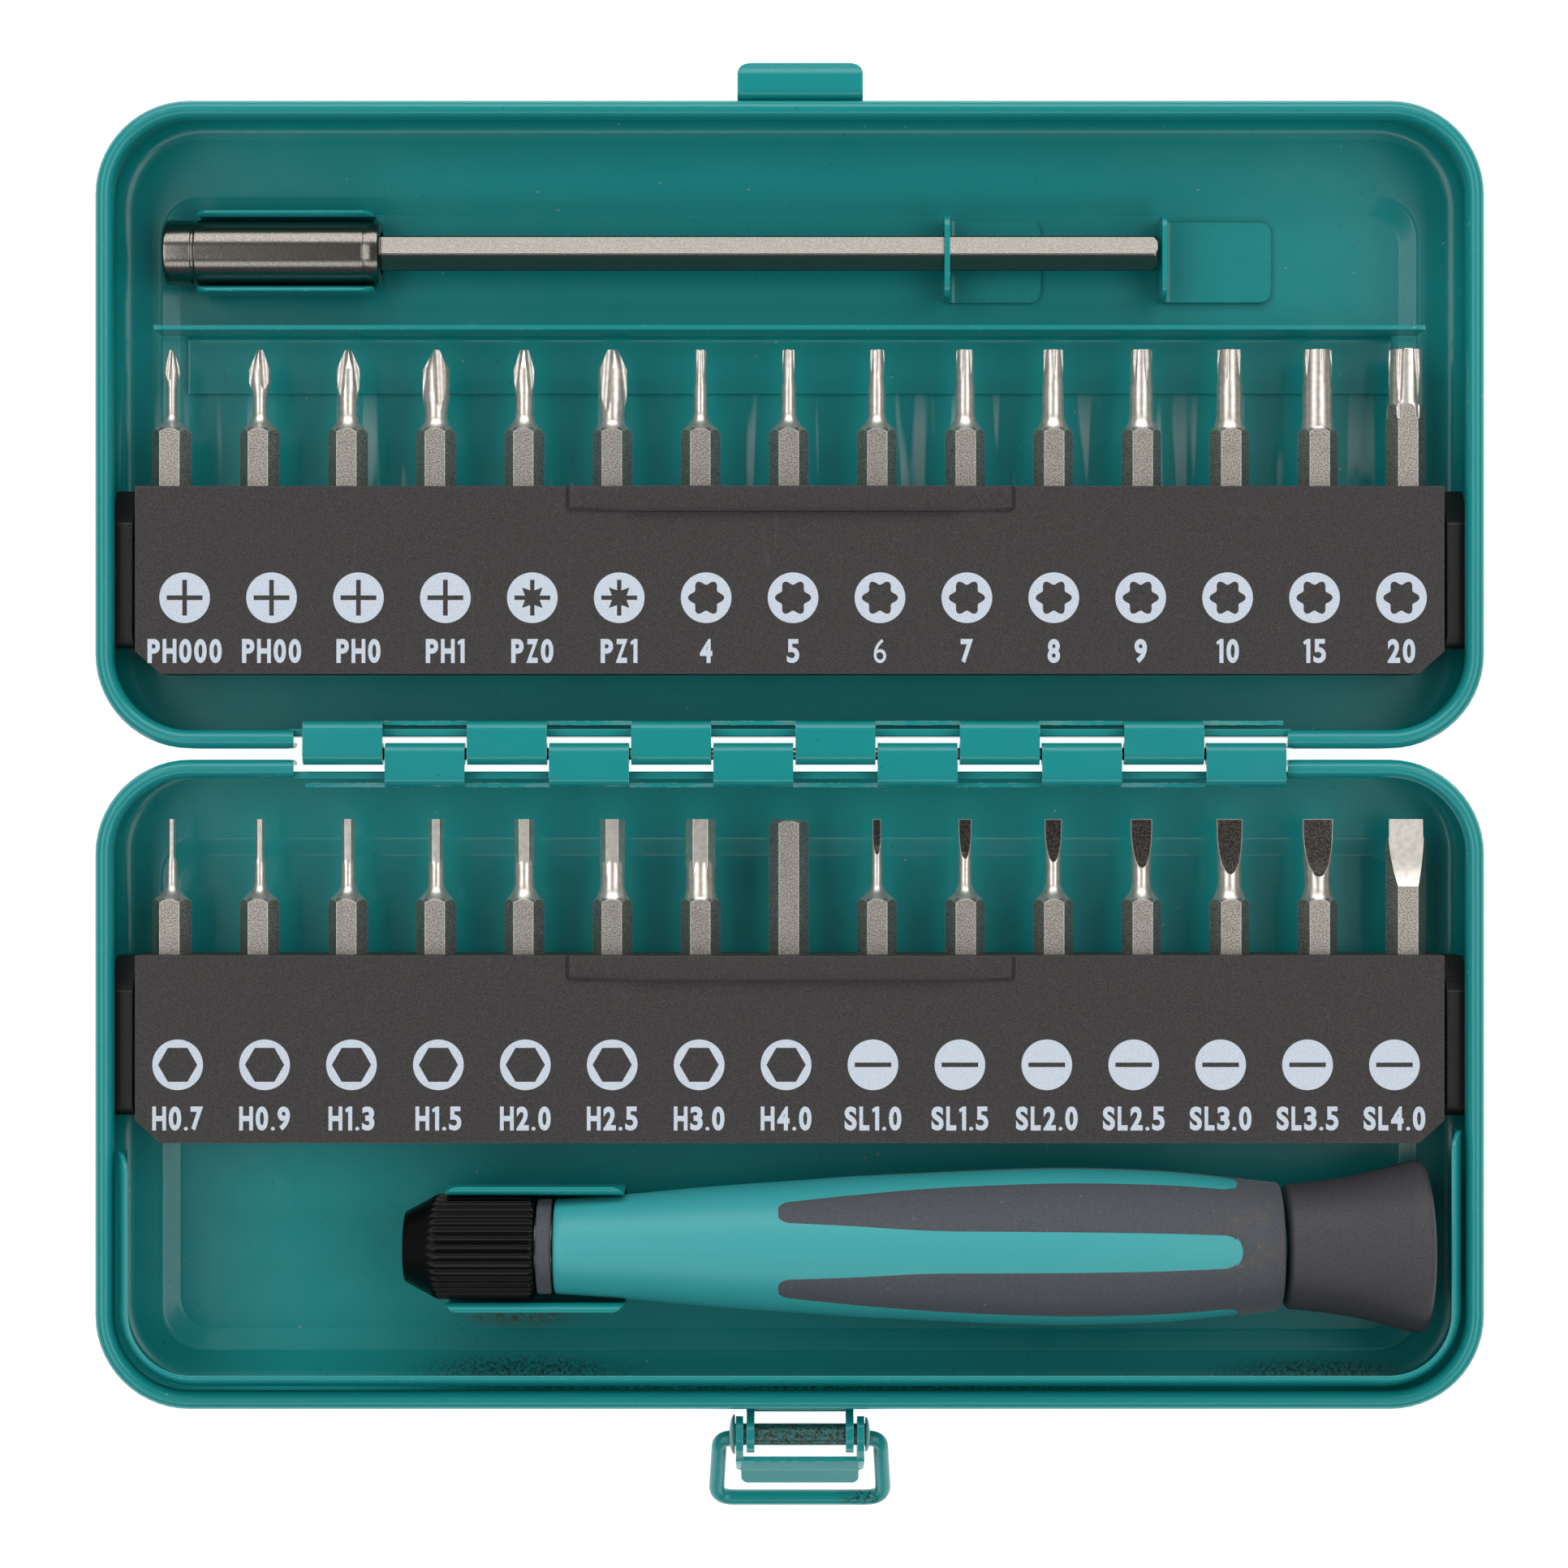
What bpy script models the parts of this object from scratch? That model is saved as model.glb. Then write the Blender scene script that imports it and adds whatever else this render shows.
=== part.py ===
"""Precision screwdriver set in a hinged steel case, modelled lying open at 180 degrees.

The scene is in metres with +Z up. Lengths below are in millimetres and pass through MM.
X runs along the hinge, +Y towards the lid's front and Z up from the table. Y is counted from the
hinge axis; SHIFT_Y moves it to the frame, whose origin is the middle of the footprint.
Each moving body is an empty on its joint's axis, and its pieces are that empty's children.
"""

import math

import bmesh
import bpy
from mathutils import Matrix, Vector

MM = 0.001
SHIFT_Y = 4.435
CLEAR = 0.1  # between pieces that are fixed to each other

# Case halves
HALF_X = 79.5
LID_DEPTH, BASE_DEPTH = 74.8, 75.0
REAR = 0.65  # hinge axis to the rear wall
SHEET = 0.6
CORNER_R = 10.8
AXIS_Z = 14.5  # hinge axis, and the plane where the two rims meet
LID_PANEL = (74.0, 9.3, 65.9), (70.0, 12.0, 63.4)  # half width, rear and front of the floor step
BASE_PANEL = (74.0, 9.3, 70.1), (70.0, 12.0, 67.4)
STEP_Z = 0.6  # how far the floor step stands down
SEAT_Z = SHEET + CLEAR  # underside of whatever is welded to a floor

# Hinge
HINGE_X0, PITCH, KNUCKLES = -55.5, 9.36, 12
ZONE = -56.7, 56.9  # where the rear walls stand back to make room for the hinge
PIN_R, KNUCKLE_R, LEAF = 0.68, 1.02, 0.5  # the knuckle radius is to the middle of its sheet
LEAF_Y = 3.55

# Bit holders
HOLDER_X, HOLDER_LOW, HOLDER_HIGH = 75.0, 5.87, 15.63
HOLDER_Z0, HOLDER_Z1 = 3.5, 13.0
UPPER_PIVOT, LOWER_PIVOT, BIT_Z = 15.07, -38.7, 8.2
BIT_AF, BIT_LENGTH, BIT_PITCH, BIT_X0 = 4.0, 28.0, 10.2, -71.5
UPPER_TIP, LOWER_TIP = 46.8, -7.5
SHOULDER = 9.1  # from a bit's tip to its hexagonal shank
SOCKET_AF, SOCKET_DEPTH = 4.2, 12.6

# Handle and extension
HANDLE_Y, HANDLE_Z = -56.6, 11.3
GRIP = (
    (-27.0, 5.42), (-18.5, 6.0), (-12.0, 6.6), (-6.7, 7.05), (-1.7, 7.4), (-1.2, 7.43), (0.0, 7.5),
    (7.0, 8.0), (15.6, 8.42), (24.0, 8.8), (32.0, 8.97), (42.0, 8.69), (48.0, 8.17), (50.6, 7.87),
    (51.4, 7.77), (53.5, 7.53), (56.2, 7.27),
)
INLAY, INLAY_BED = 1.05, 1.2  # thickness of the soft inlay and depth of its bed
EXT_Y, EXT_Z, SLEEVE_R = 58.4, 5.2, 3.83
GUIDE_X = 18.25

# Latch
LATCH_X, RIVET_Y, RIVET_Z = 1.2, -78.3, 10.6
LEVER_REST = math.radians(17)
BAIL_DROP, BAIL_LENGTH, WIRE_R = 3.4, 10.3, 0.9

FINISHES = {  # colour, metallic, roughness
    "painted_steel": ((0.012, 0.165, 0.165), 0.0, 0.28),
    "teal_plastic": ((0.045, 0.40, 0.38), 0.0, 0.45),
    "soft_grey": ((0.07, 0.08, 0.09), 0.0, 0.65),
    "dark_plastic": ((0.045, 0.042, 0.042), 0.0, 0.6),
    "black_metal": ((0.01, 0.01, 0.01), 0.0, 0.35),
    "bit_steel": ((0.62, 0.60, 0.56), 1.0, 0.3),
    "wire_steel": ((0.55, 0.55, 0.54), 1.0, 0.35),
}
PLACES = {}  # where each body's empty stands, in the frame


# ---------------------------------------------------------------- objects


def new_collection(name):
    collection = bpy.data.collections.new(name)
    bpy.context.scene.collection.children.link(collection)
    return collection


def new_material(name, colour, metallic, roughness):
    made = bpy.data.materials.new(name)
    made.use_nodes = True
    shader = made.node_tree.nodes["Principled BSDF"]
    shader.inputs["Base Color"].default_value = (*colour, 1.0)
    shader.inputs["Metallic"].default_value = metallic
    shader.inputs["Roughness"].default_value = roughness
    return made


def framed(point):
    return Vector((point[0], point[1] + SHIFT_Y, point[2])) * MM


def new_body(name, point, parent=None):
    """An empty on a joint's axis, for the pieces that move with it."""
    empty = bpy.data.objects.new(name, None)
    empty.empty_display_size = 0.006
    PARTS.objects.link(empty)
    PLACES[name] = framed(point)
    empty.parent = parent
    empty.location = PLACES[name] - (PLACES[parent.name] if parent else Vector())
    return empty


def link(name, data, body, finish):
    """A named piece of a body, or a cutter if it has no finish."""
    obj = bpy.data.objects.new(name, data)
    obj.parent = body
    if finish:
        PARTS.objects.link(obj)
        data.materials.append(new_material(f"{name}_finish", *FINISHES[finish]))
    else:
        CUTTERS.objects.link(obj)
        obj.hide_render = True
        obj.display_type = "WIRE"
    return obj


def piece(name, bm, body, finish=None):
    """Turns a bmesh in millimetres into an object whose origin is its body's empty."""
    scale = Matrix.Scale(MM, 4)
    bm.transform(Matrix.Translation(framed((0, 0, 0)) - PLACES[body.name]) @ scale)
    mesh = bpy.data.meshes.new(name)
    bm.to_mesh(mesh)
    bm.free()
    mesh.shade_smooth()
    mesh.set_sharp_from_angle(angle=math.radians(35))
    return link(name, mesh, body, finish)


def turned(name, profile, centre, body, finish=None, steps=24, tube=False):
    """A profile of (x, radius) swept about an axis along X. It runs down the outside in -X."""
    mesh = bpy.data.meshes.new(name)
    edges = [(i, i + 1) for i in range(len(profile) - 1)]
    if tube:
        edges.append((len(profile) - 1, 0))
    mesh.from_pydata([(r * MM, 0, (x - centre[0]) * MM) for x, r in profile], edges, [])
    obj = link(name, mesh, body, finish)
    obj.location = framed(centre) - PLACES[body.name]
    obj.rotation_euler = (0, math.pi / 2, 0)
    screw = obj.modifiers.new("Screw", "SCREW")
    screw.steps = screw.render_steps = steps
    screw.use_merge_vertices = True
    screw.merge_threshold = 1e-5
    return obj


def solidify(obj, thickness, offset=0.0):
    step = obj.modifiers.new("Solidify", "SOLIDIFY")
    step.thickness = thickness * MM
    step.offset = offset
    step.use_even_offset = True


def boolean(obj, operation, other):
    step = obj.modifiers.new(f"{operation.title()} {other.name}", "BOOLEAN")
    step.operation = operation
    step.solver = "EXACT"
    step.object = other


# ---------------------------------------------------------------- shapes, added to a bmesh


def add_box(bm, low, high):
    size = Vector(high) - Vector(low)
    middle = (Vector(high) + Vector(low)) / 2
    bmesh.ops.create_cube(bm, size=1, matrix=Matrix.Translation(middle) @ Matrix.Diagonal(size).to_4x4())


def add_rod(bm, axis, start, end, radius, centre, sides=16):
    """A cylinder, or a hexagonal rod, along X or Y. centre gives its other two coordinates."""
    u, v = centre
    middle = (start + end) / 2
    if axis == "X":
        matrix = Matrix.Translation((middle, u, v)) @ Matrix.Rotation(math.pi / 2, 4, "Y")
    else:  # a quarter turn puts a hexagon's flats on top, as the bits lie
        matrix = Matrix.Translation((u, middle, v)) @ Matrix.Rotation(math.pi / 2, 4, "X")
        matrix = matrix @ Matrix.Rotation(math.pi / 2, 4, "Z")
    bmesh.ops.create_cone(bm, cap_ends=True, segments=sides, radius1=radius, radius2=radius,
                          depth=end - start, matrix=matrix)


def add_plate(bm, outline, x0, x1):
    """A flat outline of (y, z) points, extruded along X."""
    face = bm.faces.new([bm.verts.new((x0, y, z)) for y, z in outline])
    grown = bmesh.ops.extrude_face_region(bm, geom=[face])["geom"]
    corners = [v for v in grown if isinstance(v, bmesh.types.BMVert)]
    bmesh.ops.translate(bm, verts=corners, vec=(x1 - x0, 0, 0))
    bmesh.ops.recalc_face_normals(bm, faces=bm.faces)


def add_surface(bm, rows, closed=False):
    """An open surface through rows of points."""
    grid = [[bm.verts.new(point) for point in row] for row in rows]
    for near, far in zip(grid, grid[1:]):
        for i in range(len(near) if closed else len(near) - 1):
            j = (i + 1) % len(near)
            bm.faces.new((near[i], near[j], far[j], far[i]))
    return grid


def add_loft(bm, rings):
    """A closed body through unlike sections with the same number of points."""
    grid = add_surface(bm, rings, closed=True)
    bm.faces.new(grid[0])
    bm.faces.new(grid[-1])
    bmesh.ops.remove_doubles(bm, verts=bm.verts, dist=1e-4)
    bmesh.ops.recalc_face_normals(bm, faces=bm.faces)


def circle(radius, n):
    angles = [2 * math.pi * i / n for i in range(n)]
    return [(radius * math.cos(a), radius * math.sin(a)) for a in angles]


def turn(point, angle):
    u, v = point
    c, s = math.cos(angle), math.sin(angle)
    return (u * c - v * s, u * s + v * c)


# ---------------------------------------------------------------- case


def rounded_outline(half_x, rear, front, radius, steps=5):
    """Corner by corner round a case half, as (x, depth)."""
    corners = (
        (-half_x + radius, rear + radius, 180),
        (half_x - radius, rear + radius, 270),
        (half_x - radius, front - radius, 0),
        (-half_x + radius, front - radius, 90),
    )
    points = []
    for x, d, start in corners:
        for i in range(steps + 1):
            a = math.radians(start + 90 * i / steps)
            points.append((x + radius * math.cos(a), d + radius * math.sin(a)))
    return points


# The outside of a wall from the floor to the rolled rim, as inset and height
WALL = ((2.6, 0.6), (0.8, 1.3), (0.0, 3.0), (0.0, 13.2), (0.32, 14.0), (1.05, 14.35), (1.78, 14.0),
        (2.1, 13.2), (2.1, 12.5))
# In the hinge zone, as depth and height: what is cut away, the wall in its place and its ends
ZONE_CUT = (-1, -1), (2.6, -1), (2.6, 1.5), (3.3, 1.5), (3.3, 16), (-1, 16)
ZONE_WALL = ((3.8, 0.66), (2.9, 0.8), (2.3, 1.25), (2.0, 2.0), (2.0, 12.7), (2.2, 12.95),
             (2.7, 12.95), (2.9, 12.7), (2.9, 11.7), (2.6, 11.4), (2.6, 2.2), (2.9, 1.5), (3.8, 1.14))
ZONE_END = (1.2, 2.2), (1.9, 1.2), (2.4, 1.0), (2.4, 12.8), (1.2, 12.8)


def shell(name, side, depth, panel, body):
    """A case half: one sheet drawn up into walls, with a stepped floor and a rolled rim."""
    bm = bmesh.new()
    rings = []
    for size, radius, z in ((panel[1], 4.0, 0.0), (panel[0], 5.0, STEP_Z)):
        points = rounded_outline(*size, radius)
        rings.append([(x, side * d, z) for x, d in points])
    for inset, z in WALL:
        points = rounded_outline(HALF_X - inset, REAR + inset, depth - inset, CORNER_R - inset)
        rings.append([(x, side * d, z) for x, d in points])
    grid = add_surface(bm, rings, closed=True)
    floor = bm.faces.new(grid[0])
    bmesh.ops.recalc_face_normals(bm, faces=bm.faces)
    if floor.normal.z > 0:
        bmesh.ops.reverse_faces(bm, faces=bm.faces)
    half = piece(name, bm, body, "painted_steel")
    solidify(half, SHEET, -1.0)
    cut, wall, ends = bmesh.new(), bmesh.new(), bmesh.new()
    add_plate(cut, [(side * d, z) for d, z in ZONE_CUT], *ZONE)
    add_plate(wall, [(side * d, z) for d, z in ZONE_WALL], ZONE[0] - 0.2, ZONE[1] + 0.2)
    for x in ZONE:
        add_plate(ends, [(side * d, z) for d, z in ZONE_END], x - 0.4, x + 0.4)
    boolean(half, "DIFFERENCE", piece(f"{name}_zone", cut, body))
    boolean(half, "UNION", piece(f"{name}_zone_wall", wall, body))
    boolean(half, "UNION", piece(f"{name}_zone_ends", ends, body))


def hinge_leaf(name, side, first, body):
    """One leaf: a plate inside the rear wall, and every second knuckle curled round the pin."""
    near, far = sorted((side * (LEAF_Y - LEAF / 2), side * (LEAF_Y + LEAF / 2)))
    plate = bmesh.new()
    add_box(plate, (HINGE_X0, near, 5.0), (HINGE_X0 + PITCH * KNUCKLES - 0.25, far, 12.9))
    leaf = piece(name, plate, body, "painted_steel")
    line = [(LEAF_Y, 12.2), (LEAF_Y, AXIS_Z + 0.5), (LEAF_Y - 0.5, AXIS_Z + KNUCKLE_R)]
    for i in range(9):
        y, z = turn((0, KNUCKLE_R), math.radians(36 * i))
        line.append((y, AXIS_Z + z))
    tabs = bmesh.new()
    for k in range(first, KNUCKLES, 2):
        x = HINGE_X0 + PITCH * k
        rows = [[(at, side * y, z) for y, z in line] for at in (x, x + PITCH - 0.25)]
        add_surface(tabs, rows)
    knuckles = piece(f"{name}_knuckles", tabs, body)
    solidify(knuckles, LEAF - 0.04)
    boolean(leaf, "UNION", knuckles)


def dust_lip(body):
    """A thin strip inside the base's front and side walls that leans in above the rim."""
    radius, left_end, right_end, inset = 11.5, 45.6, 43.1, 2.85
    drops = ((0.0, 2.2), (0.8, 0.7), (2.0, 0.0))
    stations = []  # (x, depth, direction inwards, how far the top edge is let down)
    for k, drop in drops:
        stations.append((-HALF_X, left_end + k, (1, 0), drop))
    for sign, start in ((-1, 180), (1, 90)):
        for i in range(7):
            a = math.radians(start - 15 * i)
            out = (math.cos(a), math.sin(a))
            x, d = sign * (HALF_X - radius) + radius * out[0], BASE_DEPTH - radius + radius * out[1]
            stations.append((x, d, (-out[0], -out[1]), 0.0))
    for k, drop in reversed(drops):
        stations.append((HALF_X, right_end + k, (-1, 0), drop))
    rows = []
    for x, d, (nx, nd), drop in stations:
        lean = 0.9 * (1 - drop / 2.8)
        section = ((inset, 9.5), (inset, 14.35), (inset + lean, 17.1 - drop))
        rows.append([(x + nx * t, -(d + nd * t), z) for t, z in section])
    bm = bmesh.new()
    add_surface(bm, rows)
    solidify(piece("dust_lip", bm, body, "painted_steel"), 0.45)


def tool_clip(name, x0, x1, y, z, radius, tip, body):
    """A spring clip: flat foot, two arms round a shaft of this radius, edges rolled outward."""
    half = radius + 0.12 + 0.25  # to the middle of the sheet at the pinch
    pinch = 0.42 * radius
    side = [
        (0.45 * radius, SEAT_Z + 0.25 - z), (half + 0.35, -0.55 * radius), (half + 0.3, 0.0),
        (half, pinch), (half + 0.35, pinch + 0.8), (tip - 0.25, pinch + 0.75),
    ]
    line = [(-u, v) for u, v in reversed(side)] + side
    bend = 0.3 * radius  # towards its ends each arm stands a little lower
    lower = [(u, bend + 0.5 * (v - bend) if v > bend else v) for u, v in line]
    bm = bmesh.new()
    add_surface(bm, [
        [(x, y + u, z + v) for u, v in points]
        for x, points in ((x0, lower), (x0 + 1.1, line), (x1 - 1.1, line), (x1, lower))
    ])
    solidify(piece(name, bm, body, "painted_steel"), 0.5)


def extension_bracket(name, x, foot_x, low, high, hole_r, body):
    """An L of sheet: an upright across the extension and a foot on the lid's floor."""
    t, top = 0.7, 8.4
    line = [(x + t / 2, top), (x + t / 2, SEAT_Z + 1.2), (x + t / 2 + 0.5, SEAT_Z + 0.5),
            (x + t / 2 + 1.2, SEAT_Z + t / 2), (foot_x, SEAT_Z + t / 2)]
    bm = bmesh.new()
    add_surface(bm, [[(u, y, v) for u, v in line] for y in (low, high)])
    bracket = piece(name, bm, body, "painted_steel")
    solidify(bracket, t)
    if hole_r:
        hole = bmesh.new()
        add_rod(hole, "X", x - 2, x + 3, hole_r, (EXT_Y, EXT_Z))
        boolean(bracket, "DIFFERENCE", piece(f"{name}_hole", hole, body))


def bit_divider(body):
    web, foot = bmesh.new(), bmesh.new()
    add_box(web, (-73.3, 48.9, 1.4), (73.3, 49.5, 10.2))
    add_box(foot, (-69.8, 42.4, SEAT_Z), (69.8, 49.45, 1.45))
    strip = piece("bit_divider", web, body, "painted_steel")
    boolean(strip, "UNION", piece("bit_divider_foot", foot, body))


def latch_catch(body):
    """The hooked plate on the lid's front wall that the latch's bail pulls on."""
    y = LID_DEPTH + CLEAR + 0.4
    rows = []
    for x, cut in ((-7.2, 1.3), (-6.8, 0.5), (-5.9, 0.0), (5.9, 0.0), (6.8, 0.5), (7.2, 1.3)):
        line = [(y, 5.5), (y, 12.2), (y + 0.3, 12.75), (y + 0.9, 13.0), (77.6, 13.0),
                (79.15 - cut, 12.1 + 0.58 * cut)]
        rows.append([(LATCH_X + x, u, v) for u, v in line])
    bm = bmesh.new()
    add_surface(bm, rows)
    solidify(piece("latch_catch", bm, body, "painted_steel"), 0.8)


# ---------------------------------------------------------------- bits and their holders


def bit_holder(name, pivot_y, body):
    """A moulded bar with a row of hexagonal sockets, tilting on a pin at each end."""
    low, high = pivot_y - HOLDER_LOW, pivot_y + HOLDER_HIGH
    outline = [
        (low + 1.8, HOLDER_Z0), (high - 0.8, HOLDER_Z0), (high, HOLDER_Z0 + 0.8),
        (high, HOLDER_Z1 - 0.5), (high - 0.5, HOLDER_Z1), (low + 0.5, HOLDER_Z1),
        (low, HOLDER_Z1 - 0.5), (low, HOLDER_Z0 + 2.2),
    ]
    bar, ledge, corners, pins, sockets = (bmesh.new() for _ in range(5))
    add_plate(bar, outline, -HOLDER_X, HOLDER_X)
    back = high - 0.05
    add_loft(ledge, [
        [(x, back - 3.0, HOLDER_Z1 - 0.4), (x, back, HOLDER_Z1 - 0.6),
         (x, back - 0.4, HOLDER_Z1 + up), (x, back - 2.5, HOLDER_Z1 + up)]
        for x, up in ((-25.6, 0.55), (-18.9, 0.6), (-17, 1.1), (17.8, 1.1), (19.7, 0.6), (25.8, 0.55))
    ])
    for sign in (-1, 1):
        triangle = ((sign * (HOLDER_X - 2.9), low - 1), (sign * (HOLDER_X + 1), low - 1),
                    (sign * (HOLDER_X + 1), low + 3.5), (sign * HOLDER_X, low + 2.6),
                    (sign * (HOLDER_X - 2.9), low))
        add_loft(corners, [[(x, y, z) for x, y in triangle] for z in (HOLDER_Z0 - 1, HOLDER_Z1 + 1)])
        inner, outer = sorted((sign * (HOLDER_X - 1), sign * 77.8))
        add_rod(pins, "X", inner, outer, 1.5, (pivot_y, BIT_Z))
    for i in range(15):
        x = BIT_X0 + BIT_PITCH * i
        add_rod(sockets, "Y", high - SOCKET_DEPTH, high + 1, SOCKET_AF / math.sqrt(3), (x, BIT_Z), 6)
    holder = piece(name, bar, body, "dark_plastic")
    boolean(holder, "UNION", piece(f"{name}_ledge", ledge, body))
    boolean(holder, "DIFFERENCE", piece(f"{name}_corners", corners, body))
    boolean(holder, "UNION", piece(f"{name}_pins", pins, body))
    boolean(holder, "DIFFERENCE", piece(f"{name}_sockets", sockets, body))


def holder_bracket(name, side, pivot_y, body):
    """The plate on a side wall that carries one pin of a bit holder."""
    x0, x1 = sorted((side * 75.35, side * 77.95))
    a, b = pivot_y - 2.9, pivot_y + 15.4
    plate, hole = bmesh.new(), bmesh.new()
    add_plate(plate, [(a, 6.0), (a + 1.5, 2.0), (b, 2.0), (b, 8.0), (b - 4, 11.6),
                      (a + 1.5, 11.6), (a, 10.4)], x0, x1)
    add_rod(hole, "X", x0 - 1, x1 + 1, 1.62, (pivot_y, BIT_Z))
    bracket = piece(name, plate, body, "dark_plastic")
    boolean(bracket, "DIFFERENCE", piece(f"{name}_hole", hole, body))


def hexagon(flats):
    """Twelve points: the corners and the middles of the sides."""
    return [
        turn((flats / 2 / (math.cos(math.pi / 6) if i % 2 == 0 else 1), 0), math.pi * i / 6)
        for i in range(12)
    ]


def cross_section(width, core):
    """A four-winged driver tip: two points on each wing and one in each valley."""
    around = ((-16, width / 2), (16, width / 2), (45, core / 2))
    return [turn((r, 0), math.radians(90 * k + a)) for k in range(4) for a, r in around]


def star_section(width):
    """A six-lobed driver tip."""
    return [turn((width / 2 * (1, 0.74)[i % 2], 0), math.pi * i / 6) for i in range(12)]


def blade_section(width, thick):
    u, v = width / 2, thick / 2
    half = [(u, 0), (u, v), (u / 2, v), (0, v), (-u / 2, v), (-u, v)]
    return half + [(-a, -b) for a, b in half]


def bit_sections(kind, size):
    """Sections from the back of a bit to its tip, each with its distance behind the tip."""
    shank = hexagon(BIT_AF)
    rear = [(BIT_LENGTH, hexagon(BIT_AF - 0.7)), (BIT_LENGTH - 0.5, shank)]
    if size > 3.5 and kind == "hex":
        return rear + [(0.5, shank), (0.0, hexagon(BIT_AF - 0.7))]
    if size > 3.5 and kind == "star":
        return rear + [(7.5, shank), (6.2, star_section(size)), (0.0, star_section(size))]
    if size > 3.5:
        return rear + [(8.0, shank), (0.0, blade_section(size, 0.7))]
    rear.append((SHOULDER, shank))
    if kind in ("ph", "pz"):
        neck = circle((size + 0.1) / 2, 12)
        point = size * (0.3 if kind == "ph" else 0.42)
        return rear + [(7.4, neck), (2.9, neck), (1.9, cross_section(size, 0.55 * size)),
                       (0.0, cross_section(point, point))]
    if kind == "star":
        neck = circle((size + 0.2) / 2, 12)
        return rear + [(7.2, neck), (4.2, neck), (3.4, star_section(size)), (0.0, star_section(size))]
    if kind == "hex":
        neck = circle(max(size + 0.3, 1.3) / 2, 12)
        return rear + [(7.4, neck), (5.0, neck), (4.2, hexagon(size)), (0.0, hexagon(size))]
    neck, tip = circle((0.9 + 0.4 * size) / 2, 12), blade_section(size, 0.16 + 0.13 * size)
    return rear + [(7.6, neck), (5.2, neck), (1.2, tip), (0.0, tip)]


UPPER_BITS = (
    ("bit_ph000", "ph", 1.8), ("bit_ph00", "ph", 2.5), ("bit_ph0", "ph", 2.7),
    ("bit_ph1", "ph", 3.2), ("bit_pz0", "pz", 2.45), ("bit_pz1", "pz", 3.3),
    ("bit_star_4", "star", 1.28), ("bit_star_5", "star", 1.42), ("bit_star_6", "star", 1.7),
    ("bit_star_7", "star", 1.99), ("bit_star_8", "star", 2.31), ("bit_star_9", "star", 2.5),
    ("bit_star_10", "star", 2.74), ("bit_star_15", "star", 3.27), ("bit_star_20", "star", 3.86),
)
LOWER_BITS = tuple(
    [(f"bit_hex_{size:.1f}", "hex", size) for size in (0.7, 0.9, 1.3, 1.5, 2.0, 2.5, 3.0, 4.0)]
    + [(f"bit_slot_{size:.1f}", "slot", size) for size in (1.0, 1.5, 2.0, 2.5, 3.0, 3.5, 4.0)]
)


def bits(row, tip_y, body):
    for i, (name, kind, size) in enumerate(row):
        x = BIT_X0 + BIT_PITCH * i
        bm = bmesh.new()
        add_loft(bm, [
            [(x + u, tip_y - behind, BIT_Z + v) for u, v in section]
            for behind, section in bit_sections(kind, size)
        ])
        piece(name, bm, body, "bit_steel")


# ---------------------------------------------------------------- handle


def between(table, x):
    """A value read off a table of (x, value), with straight lines between its rows."""
    for (xa, a), (xb, b) in zip(table, table[1:]):
        if x <= xb:
            return a + (b - a) * max(x - xa, 0) / (xb - xa)
    return table[-1][1]


# Half the angle, in degrees, that one inlay stripe covers along the handle
STRIPE = ((-1.5, 6.5), (-1.2, 9.0), (0.0, 11.0), (7.0, 15.5), (15.6, 20.2), (24.0, 21.3),
          (50.0, 21.3), (51.4, 26.0))


def polar(radius, degrees):
    """A point of a handle section. Angle 0 is straight up."""
    a = math.radians(degrees)
    return (HANDLE_Y + radius * math.sin(a), HANDLE_Z + radius * math.cos(a))


def handle_grip(body):
    """The hard grip, with five beds for the soft inlay and a spindle for the swivel cap."""

    def ring(x, top, bed, half, edge=None):
        edge = edge or (half + 36) / 2
        around = ((-edge, top), (-half, top), (-half, bed), (0, bed), (half, bed), (half, top),
                  (edge, top), (36, top))
        return [(x, *polar(r, 72 * k + 36 + a)) for k in range(5) for a, r in around]

    rings = [ring(x, r, r, 14, 27) for x, r in GRIP if x < -2]
    rings.append(ring(-1.7, between(GRIP, -1.7), between(GRIP, -1.7), 8.0))
    for x, r in GRIP:
        if -1.8 < x < 51.5:
            rings.append(ring(x, r, r - INLAY_BED, between(STRIPE, x) + 0.95))
    for x, r in GRIP[-3:]:
        rings.append(ring(x, r - INLAY_BED, r - INLAY_BED, 14, 27))
    rings += [ring(x, 2.5, 2.5, 14, 27) for x in (56.2, 66.2)]
    bm = bmesh.new()
    add_loft(bm, rings)
    piece("handle_grip", bm, body, "teal_plastic")


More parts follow.
